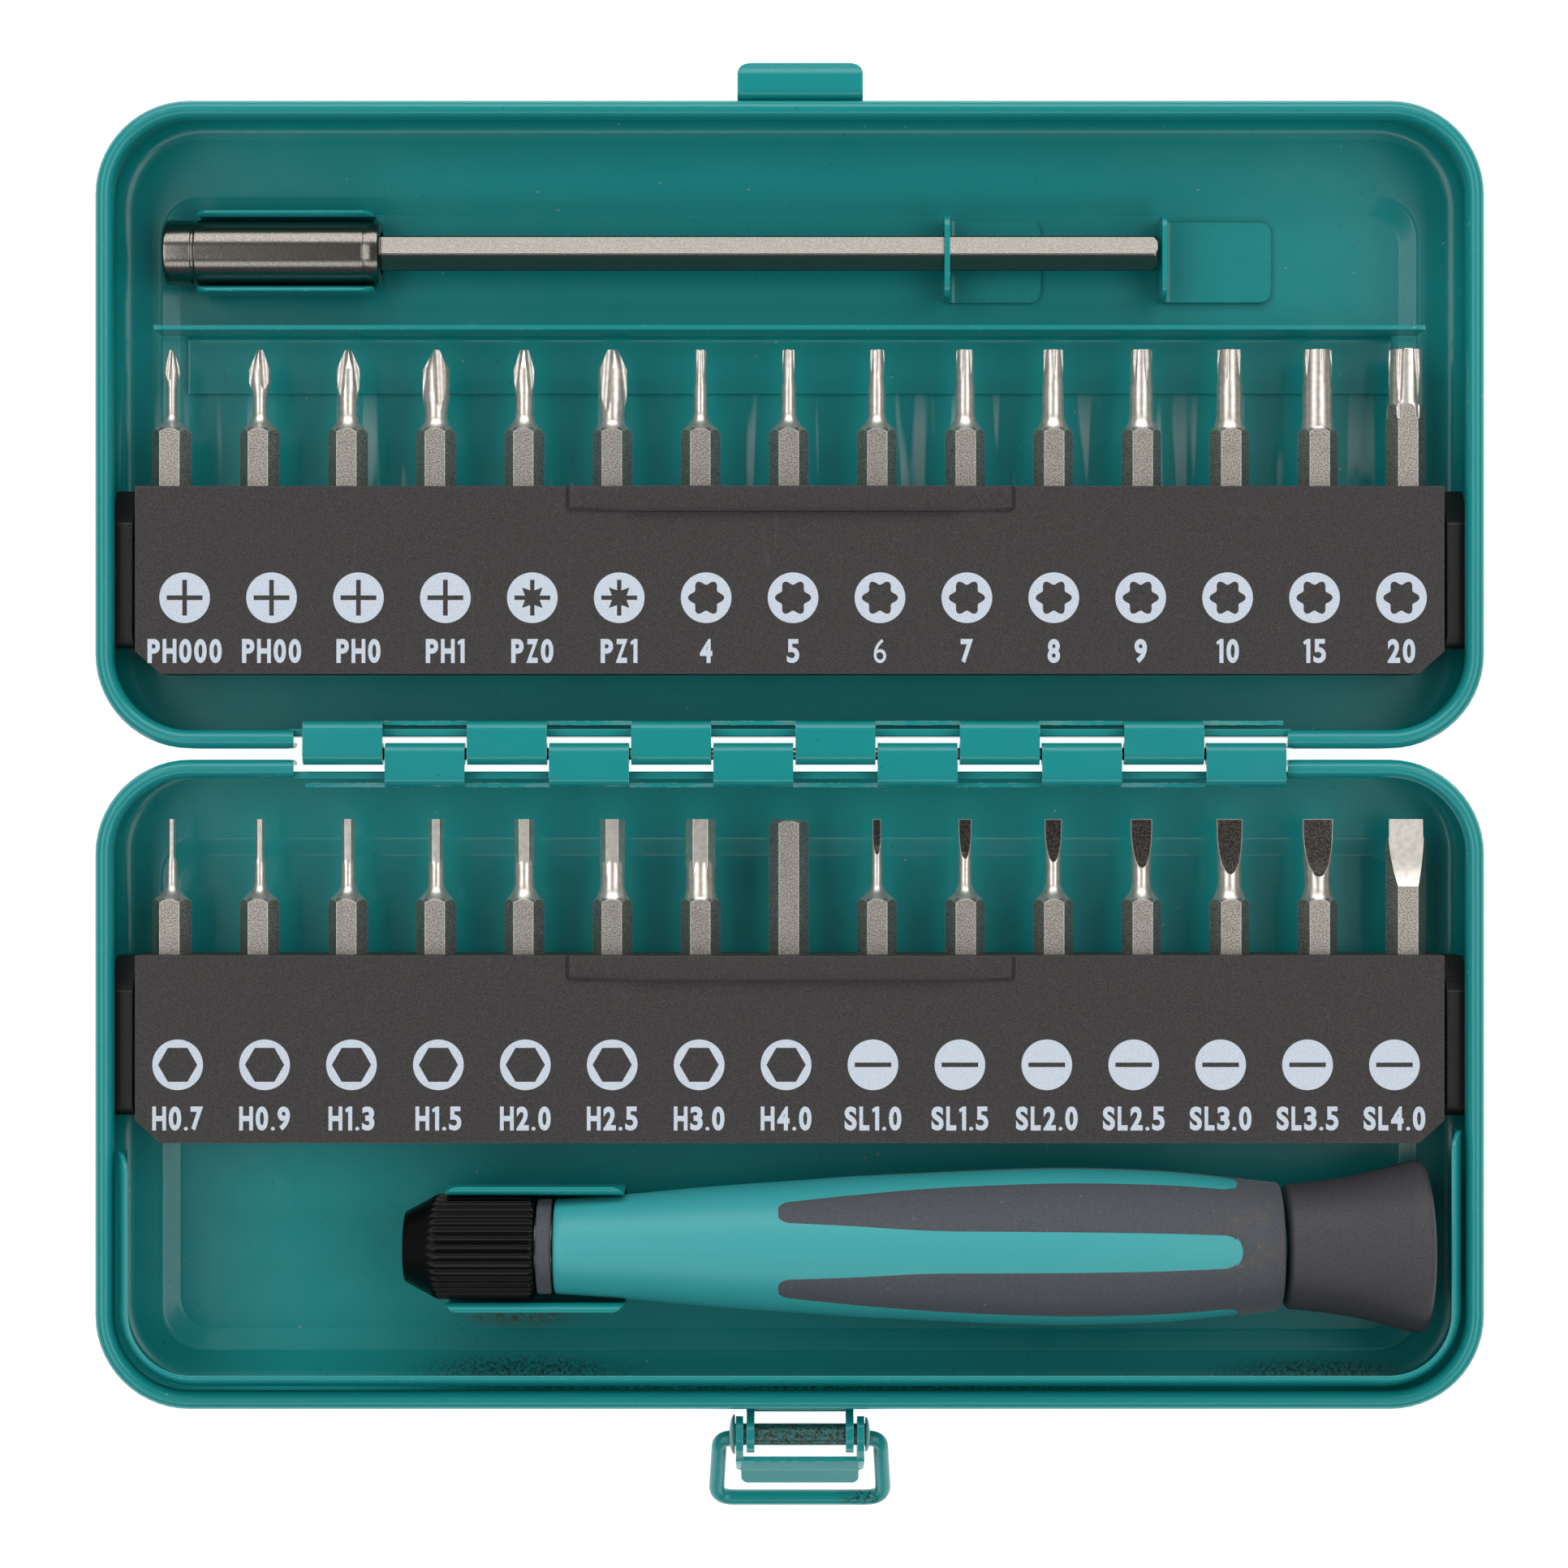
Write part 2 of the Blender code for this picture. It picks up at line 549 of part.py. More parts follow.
def handle_inlay(body):
    """Soft grey inlay: five stripes that run into one collar."""
    collar = [(x, between(GRIP, x)) for x in (56.2, 53.5, 51.6)]
    collar += [(x, r - INLAY) for x, r in reversed(collar)]
    centre = (0, HANDLE_Y, HANDLE_Z)
    inlay = turned("handle_inlay", collar, centre, body, "soft_grey", 40, tube=True)
    stripes = bmesh.new()
    for k in range(5):
        sections = []
        for x in (-1.5, -1.2, 0.0, 7.0, 15.6, 24.0, 32.0, 42.0, 48.0, 50.6, 51.4, 52.4):
            under = 0.03 if x > 51.5 else 0.0  # the ends run inside the collar
            outer, half = between(GRIP, x) - under, between(STRIPE, x)
            inner = outer - INLAY + 2 * under
            outline = [(outer, t) for t in (-1, -0.5, 0, 0.5, 1)]
            outline += [(inner, t) for t in (1, 0.33, -0.33, -1)]
            sections.append([(x, *polar(r, 72 * k + 36 + half * t)) for r, t in outline])
        stripe = bmesh.new()
        add_loft(stripe, sections)
        mesh = bpy.data.meshes.new("stripe")
        stripe.to_mesh(mesh)
        stripe.free()
        stripes.from_mesh(mesh)
        bpy.data.meshes.remove(mesh)
    boolean(inlay, "UNION", piece("handle_inlay_stripes", stripes, body))


def chuck_nut(body):
    """The fluted nut that closes the collet."""
    flutes, x0, x1 = 36, -44.2, -29.2
    stations = ((x0, 3.85, 3.85), (x0 + 0.25, 4.06, 4.06), (-40.3, 5.9, 5.9),
                (-39.9, 6.0, 5.76), (-29.6, 6.0, 5.76), (x1, 5.7, 5.6))
    bm = bmesh.new()
    add_loft(bm, [
        [(x, *polar((peak, valley)[i % 2], 180 * i / flutes)) for i in range(2 * flutes)]
        for x, peak, valley in stations
    ])
    nut = piece("chuck_nut", bm, body, "black_metal")
    bore = ((x1 + 1, 0), (x1 + 1, 3.8), (-42.6, 3.8), (-42.6, 2.9), (x0 - 1, 2.9), (x0 - 1, 0))
    boolean(nut, "DIFFERENCE", turned("chuck_nut_bore", bore, (0, HANDLE_Y, HANDLE_Z), body))


def handle_front(body):
    centre = (0, HANDLE_Y, HANDLE_Z)
    ring = ((-27.3, 5.42), (-28.7, 5.42), (-28.95, 5.25), (-28.95, 3.8), (-27.3, 3.8))
    turned("handle_front_ring", ring, centre, body, "soft_grey", tube=True)
    sleeve = ((-27.2, 0), (-27.2, 3.6), (-42.0, 3.6), (-42.3, 2.75), (-43.9, 2.75), (-43.9, 0))
    collet = turned("collet", sleeve, centre, body, "bit_steel")
    socket = bmesh.new()
    add_rod(socket, "X", -45, -30, 4.15 / math.sqrt(3), (HANDLE_Y, HANDLE_Z), 6)
    boolean(collet, "DIFFERENCE", piece("collet_socket", socket, body))


def swivel_cap(body):
    profile = ((74.45, 0), (74.45, 7.9), (74.1, 8.9), (73.3, 9.6), (72.1, 9.83), (70.6, 9.6),
               (68.4, 9.0), (64.3, 8.0), (60.0, 7.4), (57.15, 7.19), (56.85, 6.95), (56.85, 2.7),
               (66.8, 2.7), (66.8, 0))
    turned("swivel_cap", profile, (0, HANDLE_Y, HANDLE_Z), body, "soft_grey", 28)


# ---------------------------------------------------------------- extension and latch


def extension(body):
    centre = (0, EXT_Y, EXT_Z)
    corner = 4.0 / math.sqrt(3)
    shank = ((42.8, 0), (42.8, 0.8 * corner), (42.1, corner), (-57.7, corner), (-57.7, 0))
    turned("extension_shank", shank, centre, body, "bit_steel", 6)
    profile = ((-58.0, 0), (-58.0, 2.5), (-47.5, 2.5), (-47.5, 3.45), (-47.9, SLEEVE_R),
               (-72.3, SLEEVE_R), (-72.6, 3.55), (-72.6, 0))
    sleeve = turned("extension_sleeve", profile, centre, body, "bit_steel")
    socket = bmesh.new()
    add_rod(socket, "X", -74, -60.5, 4.15 / math.sqrt(3), (EXT_Y, EXT_Z), 6)
    boolean(sleeve, "DIFFERENCE", piece("extension_sleeve_socket", socket, body))


def latch_bracket(body):
    """Two ears on the base's front wall for the lever's rivet."""
    wall, reach = -(BASE_DEPTH + CLEAR), 2.1
    plate, ears, hole = bmesh.new(), bmesh.new(), bmesh.new()
    add_box(plate, (LATCH_X - 6.2, wall - 0.85, 7.0), (LATCH_X + 6.2, wall, 12.7))
    outline = [(wall - 0.3, 12.6), (wall - 0.3, 8.3)]
    for i in range(7):
        u, v = turn((reach, 0), math.radians(-80 - 30 * i))
        outline.append((RIVET_Y + u, RIVET_Z + v))
    for x in (LATCH_X - 6.15, LATCH_X + 5.25):
        add_plate(ears, outline, x, x + 0.9)
    add_rod(hole, "X", LATCH_X - 8, LATCH_X + 8, 1.32, (RIVET_Y, RIVET_Z))
    bracket = piece("latch_bracket", plate, body, "painted_steel")
    boolean(bracket, "UNION", piece("latch_bracket_ears", ears, body))
    boolean(bracket, "DIFFERENCE", piece("latch_bracket_hole", hole, body))


def latch_rivet(body):
    profile = ((8.05, 0), (8.05, 1.4), (7.85, 2.0), (7.5, 2.0), (7.5, 1.2), (-7.5, 1.2),
               (-7.5, 2.3), (-7.6, 2.3), (-8.0, 1.7), (-8.15, 1.0), (-8.15, 0))
    profile = [(LATCH_X + x, r) for x, r in profile]
    turned("latch_rivet", profile, (LATCH_X, RIVET_Y, RIVET_Z), body, "painted_steel", 16)


def lever_point(u, v):
    """A point given beside the rivet with the lever locked, carried to where it rests."""
    u, v = turn((u, v), -LEVER_REST)
    return (RIVET_Y + u, RIVET_Z + v)


def latch_lever(body):
    half, ear = 7.4, 0.85
    plate, ears = bmesh.new(), bmesh.new()
    line = [lever_point(*p) for p in ((-2.75, -0.7), (-2.75, -6.6), (-3.0, -7.8), (-3.7, -9.0))]
    add_surface(plate, [[(LATCH_X + x, y, z) for y, z in line] for x in (-half, half)])
    outline = [(-2.9, -0.9), (-2.0, 0.9), (-0.9, 1.95), (0.9, 1.95), (2.0, 0.8), (2.05, -0.9),
               (1.95, -3.6), (1.0, -5.2), (-1.2, -6.0), (-2.9, -6.5)]
    for x in (-half + 0.02, half - ear):
        add_plate(ears, [lever_point(*p) for p in outline], LATCH_X + x,
                  LATCH_X + x + ear - 0.02)
    lever = piece("latch_lever", plate, body, "painted_steel")
    solidify(lever, 0.6)
    boolean(lever, "UNION", piece("latch_lever_ears", ears, body))
    for label, drop, radius in (("rivet", 0.0, 1.32), ("bail", -BAIL_DROP, 1.02)):
        holes = bmesh.new()
        for a, b in ((-half - 1, -half + ear + 1), (half - ear - 1, half + 1)):
            add_rod(holes, "X", LATCH_X + a, LATCH_X + b, radius, lever_point(0, drop))
        boolean(lever, "DIFFERENCE", piece(f"latch_lever_{label}_holes", holes, body))


def bail_pivot():
    return (LATCH_X, *lever_point(0, -BAIL_DROP))


def latch_bail(body):
    """The wire loop that hooks over the catch, resting here with its bar on the table."""
    drop = bail_pivot()[2] - WIRE_R
    slope = Vector((0, -math.sqrt(BAIL_LENGTH**2 - drop**2), -drop)) / BAIL_LENGTH
    half = [(6.5, 0.0), (8.6, 0.0), (9.1, 0.22), (9.3, 0.8), (9.85, 8.4), (9.6, 9.6),
            (8.9, 10.15), (8.0, BAIL_LENGTH)]
    path = [Vector((x, 0, 0)) + slope * s for x, s in half]
    path += [Vector((-x, 0, 0)) + slope * s for x, s in reversed(half)]
    curve = bpy.data.curves.new("latch_bail", "CURVE")
    curve.dimensions = "3D"
    curve.bevel_depth = WIRE_R * MM
    curve.bevel_resolution = 3
    curve.use_fill_caps = True
    spline = curve.splines.new("POLY")
    spline.points.add(len(path) - 1)
    for at, point in zip(spline.points, path):
        at.co = (*(point * MM), 1)
    link("latch_bail", curve, body, "painted_steel")


# ---------------------------------------------------------------- the set


def build_base(base):
    shell("base_shell", -1, BASE_DEPTH, BASE_PANEL, base)
    hinge_leaf("base_hinge_leaf", -1, 1, base)
    pin = bmesh.new()
    add_rod(pin, "X", -55.6, 56.6, PIN_R, (0, AXIS_Z), 10)
    piece("hinge_pin", pin, base, "wire_steel")
    dust_lip(base)
    tool_clip("handle_clip", -39.4, -18.9, HANDLE_Y, HANDLE_Z, 6.0, 7.4, base)
    latch_bracket(base)
    latch_rivet(base)
    for side, label in ((-1, "left"), (1, "right")):
        holder_bracket(f"lower_bracket_{label}", side, LOWER_PIVOT, base)


def build_lid(lid):
    shell("lid_shell", 1, LID_DEPTH, LID_PANEL, lid)
    hinge_leaf("lid_hinge_leaf", 1, 0, lid)
    bit_divider(lid)
    tool_clip("extension_clip", -68.9, -48.3, EXT_Y, EXT_Z, SLEEVE_R, 4.95, lid)
    extension_bracket("extension_guide", 17.9, 29.5, 53.1, 62.7, 2.78, lid)
    extension_bracket("extension_stop", 43.1, 56.6, 53.1, 62.6, 0, lid)
    latch_catch(lid)
    for side, label in ((-1, "left"), (1, "right")):
        holder_bracket(f"upper_bracket_{label}", side, UPPER_PIVOT, lid)


def build():
    base = new_body("case_base", (0, 0, AXIS_Z))
    lid = new_body("lid_axis", (0, 0, AXIS_Z), base)
    build_base(base)
    build_lid(lid)
    upper = new_body("upper_holder_axis", (0, UPPER_PIVOT, BIT_Z), lid)
    bit_holder("upper_bit_holder", UPPER_PIVOT, upper)
    bits(UPPER_BITS, UPPER_TIP, upper)
    lower = new_body("lower_holder_axis", (0, LOWER_PIVOT, BIT_Z), base)
    bit_holder("lower_bit_holder", LOWER_PIVOT, lower)
    bits(LOWER_BITS, LOWER_TIP, lower)
    handle = new_body("handle_slide", (0, HANDLE_Y, HANDLE_Z), base)
    handle_grip(handle)
    handle_inlay(handle)
    handle_front(handle)
    chuck_nut(new_body("chuck_axis", (-36, HANDLE_Y, HANDLE_Z), handle))
    swivel_cap(new_body("cap_axis", (65, HANDLE_Y, HANDLE_Z), handle))
    extension(new_body("extension_axis", (GUIDE_X, EXT_Y, EXT_Z), lid))
    lever = new_body("lever_axis", (LATCH_X, RIVET_Y, RIVET_Z), base)
    latch_lever(lever)
    latch_bail(new_body("bail_axis", bail_pivot(), lever))


for leftover in list(bpy.data.objects):
    bpy.data.objects.remove(leftover, do_unlink=True)
PARTS = new_collection("precision_screwdriver_set")
CUTTERS = new_collection("cutters")
build()
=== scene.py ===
"""Looks of the precision screwdriver set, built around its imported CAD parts.

Shapes are made in millimetres: x along the hinge, y from the hinge axis towards the lid's front and
z up from the table. Each finished mesh is then carried into the frame, which is in metres.
"""

import math

import bmesh
import bpy
from mathutils import Matrix, Vector


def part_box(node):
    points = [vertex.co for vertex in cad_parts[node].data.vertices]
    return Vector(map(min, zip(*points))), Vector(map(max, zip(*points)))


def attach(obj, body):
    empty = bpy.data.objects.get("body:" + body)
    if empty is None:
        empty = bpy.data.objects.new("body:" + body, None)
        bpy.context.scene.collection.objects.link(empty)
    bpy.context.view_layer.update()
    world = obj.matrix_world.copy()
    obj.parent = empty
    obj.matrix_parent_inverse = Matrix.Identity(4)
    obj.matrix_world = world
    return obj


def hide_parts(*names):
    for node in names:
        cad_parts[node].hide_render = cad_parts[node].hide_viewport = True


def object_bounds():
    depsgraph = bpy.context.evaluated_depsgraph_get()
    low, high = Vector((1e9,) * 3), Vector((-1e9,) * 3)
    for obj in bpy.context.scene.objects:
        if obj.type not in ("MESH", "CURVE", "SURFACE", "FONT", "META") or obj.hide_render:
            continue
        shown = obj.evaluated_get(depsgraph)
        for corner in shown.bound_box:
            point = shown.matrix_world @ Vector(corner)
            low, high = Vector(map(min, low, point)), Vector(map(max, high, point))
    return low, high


MM = 0.001
SHEET = 0.6

# Case halves
HALF_X, REAR, CORNER_R = 79.5, 0.65, 10.8
LID_DEPTH, BASE_DEPTH = 74.8, 75.0
RIM_Z, RIM_R, STEP_Z = 13.2, 1.05, 0.6
LID_PANEL = (74.0, 9.3, 65.9, 5.0), (71.6, 12.0, 63.4, 4.0)  # half width, rear, front, corner
BASE_PANEL = (74.0, 9.3, 70.1, 5.0), (71.6, 12.0, 67.4, 4.0)
ZONE = -56.7, 56.9  # where the rear walls stand back for the hinge

# Hinge
AXIS_Z, LEAF_Y, KNUCKLE_R = 14.5, 3.55, 1.02
HINGE_X0, PITCH, KNUCKLES = -55.5, 9.36, 12

# Bit holders
HOLDER_X, HOLDER_Z0, HOLDER_Z1 = 75.0, 3.5, 13.0
UPPER_PIVOT, LOWER_PIVOT, BIT_Z = 15.07, -38.7, 8.2
BIT_X0, BIT_PITCH, BIT_AF, BIT_LENGTH, SHOULDER = -71.5, 10.2, 4.0, 28.0, 9.1
UPPER_TIP, LOWER_TIP = 46.8, -7.5
LABEL_PITCH, DISC_R, TEXT_HEIGHT, INK = 9.955, 2.9, 2.75, 0.03

# Handle, extension and latch
HANDLE_Y, HANDLE_Z, EXT_Y, EXT_Z = -56.6, 11.3, 58.4, 5.2
LATCH_X, RIVET_Y, RIVET_Z = 1.2, -78.3, 10.6
LEVER_REST, BAIL_DROP, BAIL_LENGTH, WIRE_R = math.radians(17), 3.4, 10.3, 0.9
CLEAR = 0.02
HOLLOW_R = 19.0  # of the wheel that ground the flat blades
SOCKET_AF = 4.15  # across the flats of a driver's socket, a little more than a shank's

GRIP = (  # the radius of the handle, along it
    (-27.0, 5.42), (-18.5, 6.0), (-12.0, 6.6), (-6.7, 7.05), (0.0, 7.5), (7.0, 8.0), (15.6, 8.42),
    (24.0, 8.8), (32.0, 8.97), (42.0, 8.69), (48.0, 8.17), (51.4, 7.77), (56.2, 7.27),
)
STRIPE = (  # half the angle that a soft stripe covers, along the handle
    (-1.5, 10.4), (0.0, 11.4), (7.0, 15.5), (15.6, 20.2), (24.0, 21.6), (32.0, 22.3), (42.0, 22.9),
    (50.0, 23.6), (60.0, 23.6),
)
STRIPE_START, STRIPE_END, GAP_R, ROLL = -1.5, 51.05, 1.75, 2.0
CAP = (
    (56.85, 6.75), (57.1, 7.1), (58.5, 7.25), (60.0, 7.4), (64.3, 8.0), (68.4, 9.0), (70.6, 9.6),
    (72.1, 9.83), (72.5, 9.73),
)
CAP_END = (
    (72.75, 9.5), (72.92, 9.1), (73.05, 8.2), (73.3, 6.5), (73.6, 4.5), (73.85, 2.5), (73.95, 0.5),
)

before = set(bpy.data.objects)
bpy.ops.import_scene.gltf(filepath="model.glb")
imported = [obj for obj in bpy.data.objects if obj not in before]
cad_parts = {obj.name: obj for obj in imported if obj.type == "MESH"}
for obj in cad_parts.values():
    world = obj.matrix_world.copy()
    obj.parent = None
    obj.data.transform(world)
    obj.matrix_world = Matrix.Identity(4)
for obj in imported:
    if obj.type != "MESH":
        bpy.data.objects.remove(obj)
CAD_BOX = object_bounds()
PIN_LOW, PIN_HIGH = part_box("hinge_pin")
SHIFT = (PIN_LOW.y + PIN_HIGH.y) / 2  # the hinge axis in the frame


# ---------------------------------------------------------------- outlines


def arc(centre, radius, start, end, steps):
    """Points on an arc, with its angles in degrees."""
    angles = [math.radians(start + (end - start) * i / steps) for i in range(steps + 1)]
    return [(centre[0] + radius * math.cos(a), centre[1] + radius * math.sin(a)) for a in angles]


def turn(point, angle):
    u, v = point
    c, s = math.cos(angle), math.sin(angle)
    return (u * c - v * s, u * s + v * c)


def filleted(points, radius, steps=5, closed=False):
    """The same outline with its corners rounded."""
    n = len(points)
    result = []
    for i, point in enumerate(points):
        if not closed and i in (0, n - 1):
            result.append(tuple(point))
            continue
        here, before, after = Vector(point), Vector(points[i - 1]), Vector(points[(i + 1) % n])
        back, on = before - here, after - here
        half = back.angle(on) / 2
        cut = min(radius / math.tan(half), 0.49 * back.length, 0.49 * on.length)
        a, b = here + back.normalized() * cut, here + on.normalized() * cut
        for k in range(steps + 1):
            t = k / steps
            result.append(tuple(a * (1 - t) ** 2 + here * (2 * t * (1 - t)) + b * t**2))
    return result


def even(points, step):
    """The same line with points at an even distance along it."""
    lengths = [0.0]
    for a, b in zip(points, points[1:]):
        lengths.append(lengths[-1] + math.dist(a, b))
    count = max(int(lengths[-1] / step), 2)
    result, k = [], 0
    for i in range(count + 1):
        along = lengths[-1] * i / count
        while k < len(points) - 2 and lengths[k + 1] < along:
            k += 1
        t = (along - lengths[k]) / max(lengths[k + 1] - lengths[k], 1e-9)
        result.append(tuple(p + (q - p) * t for p, q in zip(points[k], points[k + 1])))
    return result


def curve_at(table, x):
    """A smooth curve through a table of (x, value)."""
    k = 0
    while k < len(table) - 2 and table[k + 1][0] < x:
        k += 1
    (xa, a), (xb, b) = table[k], table[k + 1]
    before, after = table[max(k - 1, 0)], table[min(k + 2, len(table) - 1)]
    t = min(max((x - xa) / (xb - xa), 0), 1)
    slope_a = (b - before[1]) / (xb - before[0]) * (xb - xa)
    slope_b = (after[1] - a) / (after[0] - xa) * (xb - xa)
    return (
        a * (2 * t**3 - 3 * t**2 + 1) + slope_a * (t**3 - 2 * t**2 + t)
        + b * (3 * t**2 - 2 * t**3) + slope_b * (t**3 - t**2)
    )


def spread(low, high, count):
    return [low + (high - low) * i / count for i in range(count + 1)]


def across(low, high, count=4, margin=0.3):
    """Places from low to high, with a narrow step at both ends so that flats stay flat there."""
    return [low] + spread(low + margin, high - margin, count) + [high]


# ---------------------------------------------------------------- meshes


def add_surface(bm, rows, closed=False, caps=False):
    grid = [[bm.verts.new(point) for point in row] for row in rows]
    for near, far in zip(grid, grid[1:]):
        for i in range(len(near) if closed else len(near) - 1):
            j = (i + 1) % len(near)
            bm.faces.new((near[i], near[j], far[j], far[i]))
    if caps:
        bm.faces.new(grid[0])
        bm.faces.new(grid[-1])
        bmesh.ops.recalc_face_normals(bm, faces=bm.faces)
    return grid


def add_prism(bm, outline, axis, low, high):
    """A flat outline carried along X, as (y, z), or along Z, as (x, y)."""
    rows = []
    for w in (low, high):
        rows.append([(w, u, v) if axis == "X" else (u, v, w) for u, v in outline])
    add_surface(bm, rows, closed=True, caps=True)


def add_box(bm, low, high):
    outline = [(low[0], low[1]), (high[0], low[1]), (high[0], high[1]), (low[0], high[1])]
    add_prism(bm, outline, "Z", low[2], high[2])


def add_lathe(bm, profile, centre, axis="X", sides=64, ring=False):
    """A profile of (place along the axis, radius), with its ends capped unless it is a ring."""
    rows = []
    for w, r in list(profile) + ([profile[0]] if ring else []):
        circle = [turn((max(r, 0.01), 0), 2 * math.pi * i / sides) for i in range(sides)]
        u, v = centre
        rows.append([(w, u + a, v + b) if axis == "X" else (u + a, w, v + b) for a, b in circle])
    add_surface(bm, rows, closed=True, caps=not ring)
    if ring:
        bmesh.ops.remove_doubles(bm, verts=bm.verts, dist=1e-5)
        bmesh.ops.recalc_face_normals(bm, faces=bm.faces)


def shape(add, *args, **options):
    """A new mesh with just this one shape in it."""
    bm = bmesh.new()
    add(bm, *args, **options)
    return bm


def new_object(name, bm):
    """Carries a mesh from millimetres on the hinge axis into the frame."""
    bm.transform(Matrix.Translation((0, SHIFT, 0)) @ Matrix.Scale(MM, 4))
    mesh = bpy.data.meshes.new(name)
    bm.to_mesh(mesh)
    bm.free()
    obj = bpy.data.objects.new(name, mesh)
    bpy.context.scene.collection.objects.link(obj)
    return obj


def baked(obj):
    """Applies the modifiers."""
    bpy.context.view_layer.update()
    seen = obj.evaluated_get(bpy.context.evaluated_depsgraph_get())
    mesh = bpy.data.meshes.new_from_object(seen)
    obj.modifiers.clear()
    obj.data = mesh
    return obj


def joined(obj, operation, bm):
    """Cuts a mesh out of an object, adds it or keeps only what both share."""
    other = new_object("cutter", bm)
    step = obj.modifiers.new("Boolean", "BOOLEAN")
    step.operation, step.solver, step.object = operation, "EXACT", other
    baked(obj)
    bpy.data.objects.remove(other)


def solidify(obj, thickness, offset=0.0):
    step = obj.modifiers.new("Solidify", "SOLIDIFY")
    step.thickness, step.offset, step.use_even_offset = thickness * MM, offset, True


def bevel(obj, width, segments=2, angle=40):
    step = obj.modifiers.new("Bevel", "BEVEL")
    step.width, step.segments = width * MM, segments
    step.limit_method, step.angle_limit = "ANGLE", math.radians(angle)
    step.miter_outer = "MITER_ARC"


def finished(obj, body, material, *nodes, sharp=50, flat_weight=False):
    """The last step for every piece: baked, smooth, in its material and riding on its body."""
    if flat_weight:
        obj.modifiers.new("Normals", "WEIGHTED_NORMAL").keep_sharp = True
    obj.data.shade_smooth()
    obj.data.set_sharp_from_angle(angle=math.radians(sharp))
    baked(obj)
    obj.data.materials.clear()
    obj.data.materials.append(MATERIALS[material])
    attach(obj, body)
    if nodes:
        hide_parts(*nodes)
    return obj


# ---------------------------------------------------------------- shader nodes


def add_node(tree, kind, inputs=None, **settings):
    made = tree.nodes.new(kind)
    for key, value in settings.items():
        setattr(made, key, value)
    for key, value in (inputs or {}).items():
        if isinstance(value, bpy.types.NodeSocket):
            tree.links.new(value, made.inputs[key])
        else:
            made.inputs[key].default_value = value
    return made


def maths(tree, operation, a, b=0.0, clamp=False):
    made = add_node(tree, "ShaderNodeMath", {0: a, 1: b}, operation=operation, use_clamp=clamp)
    return made.outputs[0]


def times(tree, a, b):
    return maths(tree, "MULTIPLY", a, b)


def noise(tree, size, detail=3.0, distortion=0.0, stretch=None):
    """Noise with features of about this many millimetres."""
    where = add_node(tree, "ShaderNodeTexCoord").outputs["Object"]
    if stretch:
        where = add_node(tree, "ShaderNodeMapping", {"Vector": where, "Scale": stretch}).outputs[0]
    scale = 1 / (size * MM)
    made = add_node(tree, "ShaderNodeTexNoise",
                    {"Vector": where, "Scale": scale, "Detail": detail, "Distortion": distortion})
    return made.outputs["Fac"]


def specks(tree, size, share):
    """Small round specks, in cells of this many millimetres, in this share of the cells."""
    where = add_node(tree, "ShaderNodeTexCoord").outputs["Object"]
    cells = add_node(tree, "ShaderNodeTexVoronoi", {"Vector": where, "Scale": 1 / (size * MM)})
    near = maths(tree, "LESS_THAN", cells.outputs["Distance"], 0.16)
    pick = add_node(tree, "ShaderNodeSeparateColor", {0: cells.outputs["Color"]}).outputs[0]
    return times(tree, near, maths(tree, "LESS_THAN", pick, share))


def between(tree, value, low, high):
    """0 below low, 1 above high."""
    made = add_node(tree, "ShaderNodeMapRange", {"Value": value, "From Min": low, "From Max": high},
                    interpolation_type="SMOOTHSTEP")
    return made.outputs[0]


def mix(tree, share, a, b):
    made = add_node(tree, "ShaderNodeMix", data_type="RGBA")
    pairs = ((made.inputs[0], share), (made.inputs[6], a), (made.inputs[7], b))
    for socket, value in pairs:
        if isinstance(value, bpy.types.NodeSocket):
            tree.links.new(value, socket)
        else:
            socket.default_value = value if isinstance(value, float) else (*value, 1.0)
    return made.outputs[2]


def edges(tree, width, low=0.02, high=0.12):
    """1 on edges within this many millimetres, 0 elsewhere."""
    soft = add_node(tree, "ShaderNodeBevel", {"Radius": width * MM}, samples=4).outputs[0]
    hard = add_node(tree, "ShaderNodeNewGeometry").outputs["Normal"]
    dot = add_node(tree, "ShaderNodeVectorMath", {0: soft, 1: hard}, operation="DOT_PRODUCT")
    return between(tree, maths(tree, "SUBTRACT", 1.0, dot.outputs["Value"]), low, high)


def bump(tree, height, distance, normal=None):
    inputs = {"Height": height, "Strength": 1.0, "Distance": distance * MM}
    if normal:
        inputs["Normal"] = normal
    return add_node(tree, "ShaderNodeBump", inputs).outputs[0]


def blot(tree, centre, radii):
    """1 at a place in the object, fading to 0 at these distances from it, in millimetres."""
    where = add_node(tree, "ShaderNodeTexCoord").outputs["Object"]
    point = (centre[0] * MM, centre[1] * MM + SHIFT, centre[2] * MM)
    moved = add_node(tree, "ShaderNodeVectorMath", {0: where, 1: point}, operation="SUBTRACT")
    scale = tuple(1 / (r * MM) for r in radii)
    scaled = add_node(tree, "ShaderNodeVectorMath", {0: moved.outputs[0], 1: scale},
                      operation="MULTIPLY")
    length = add_node(tree, "ShaderNodeVectorMath", {0: scaled.outputs[0]}, operation="LENGTH")
    return between(tree, maths(tree, "SUBTRACT", 1.0, length.outputs["Value"]), 0.0, 0.8)


def new_material(name, build):
    material = bpy.data.materials.new(name)
    material.use_nodes = True
    tree = material.node_tree
    shader = tree.nodes["Principled BSDF"]
    for key, value in build(tree).items():
        if isinstance(value, bpy.types.NodeSocket):
            tree.links.new(value, shader.inputs[key])
        elif isinstance(value, tuple):
            shader.inputs[key].default_value = (*value, 1.0)
        else:
            shader.inputs[key].default_value = value
    return material


# ---------------------------------------------------------------- materials


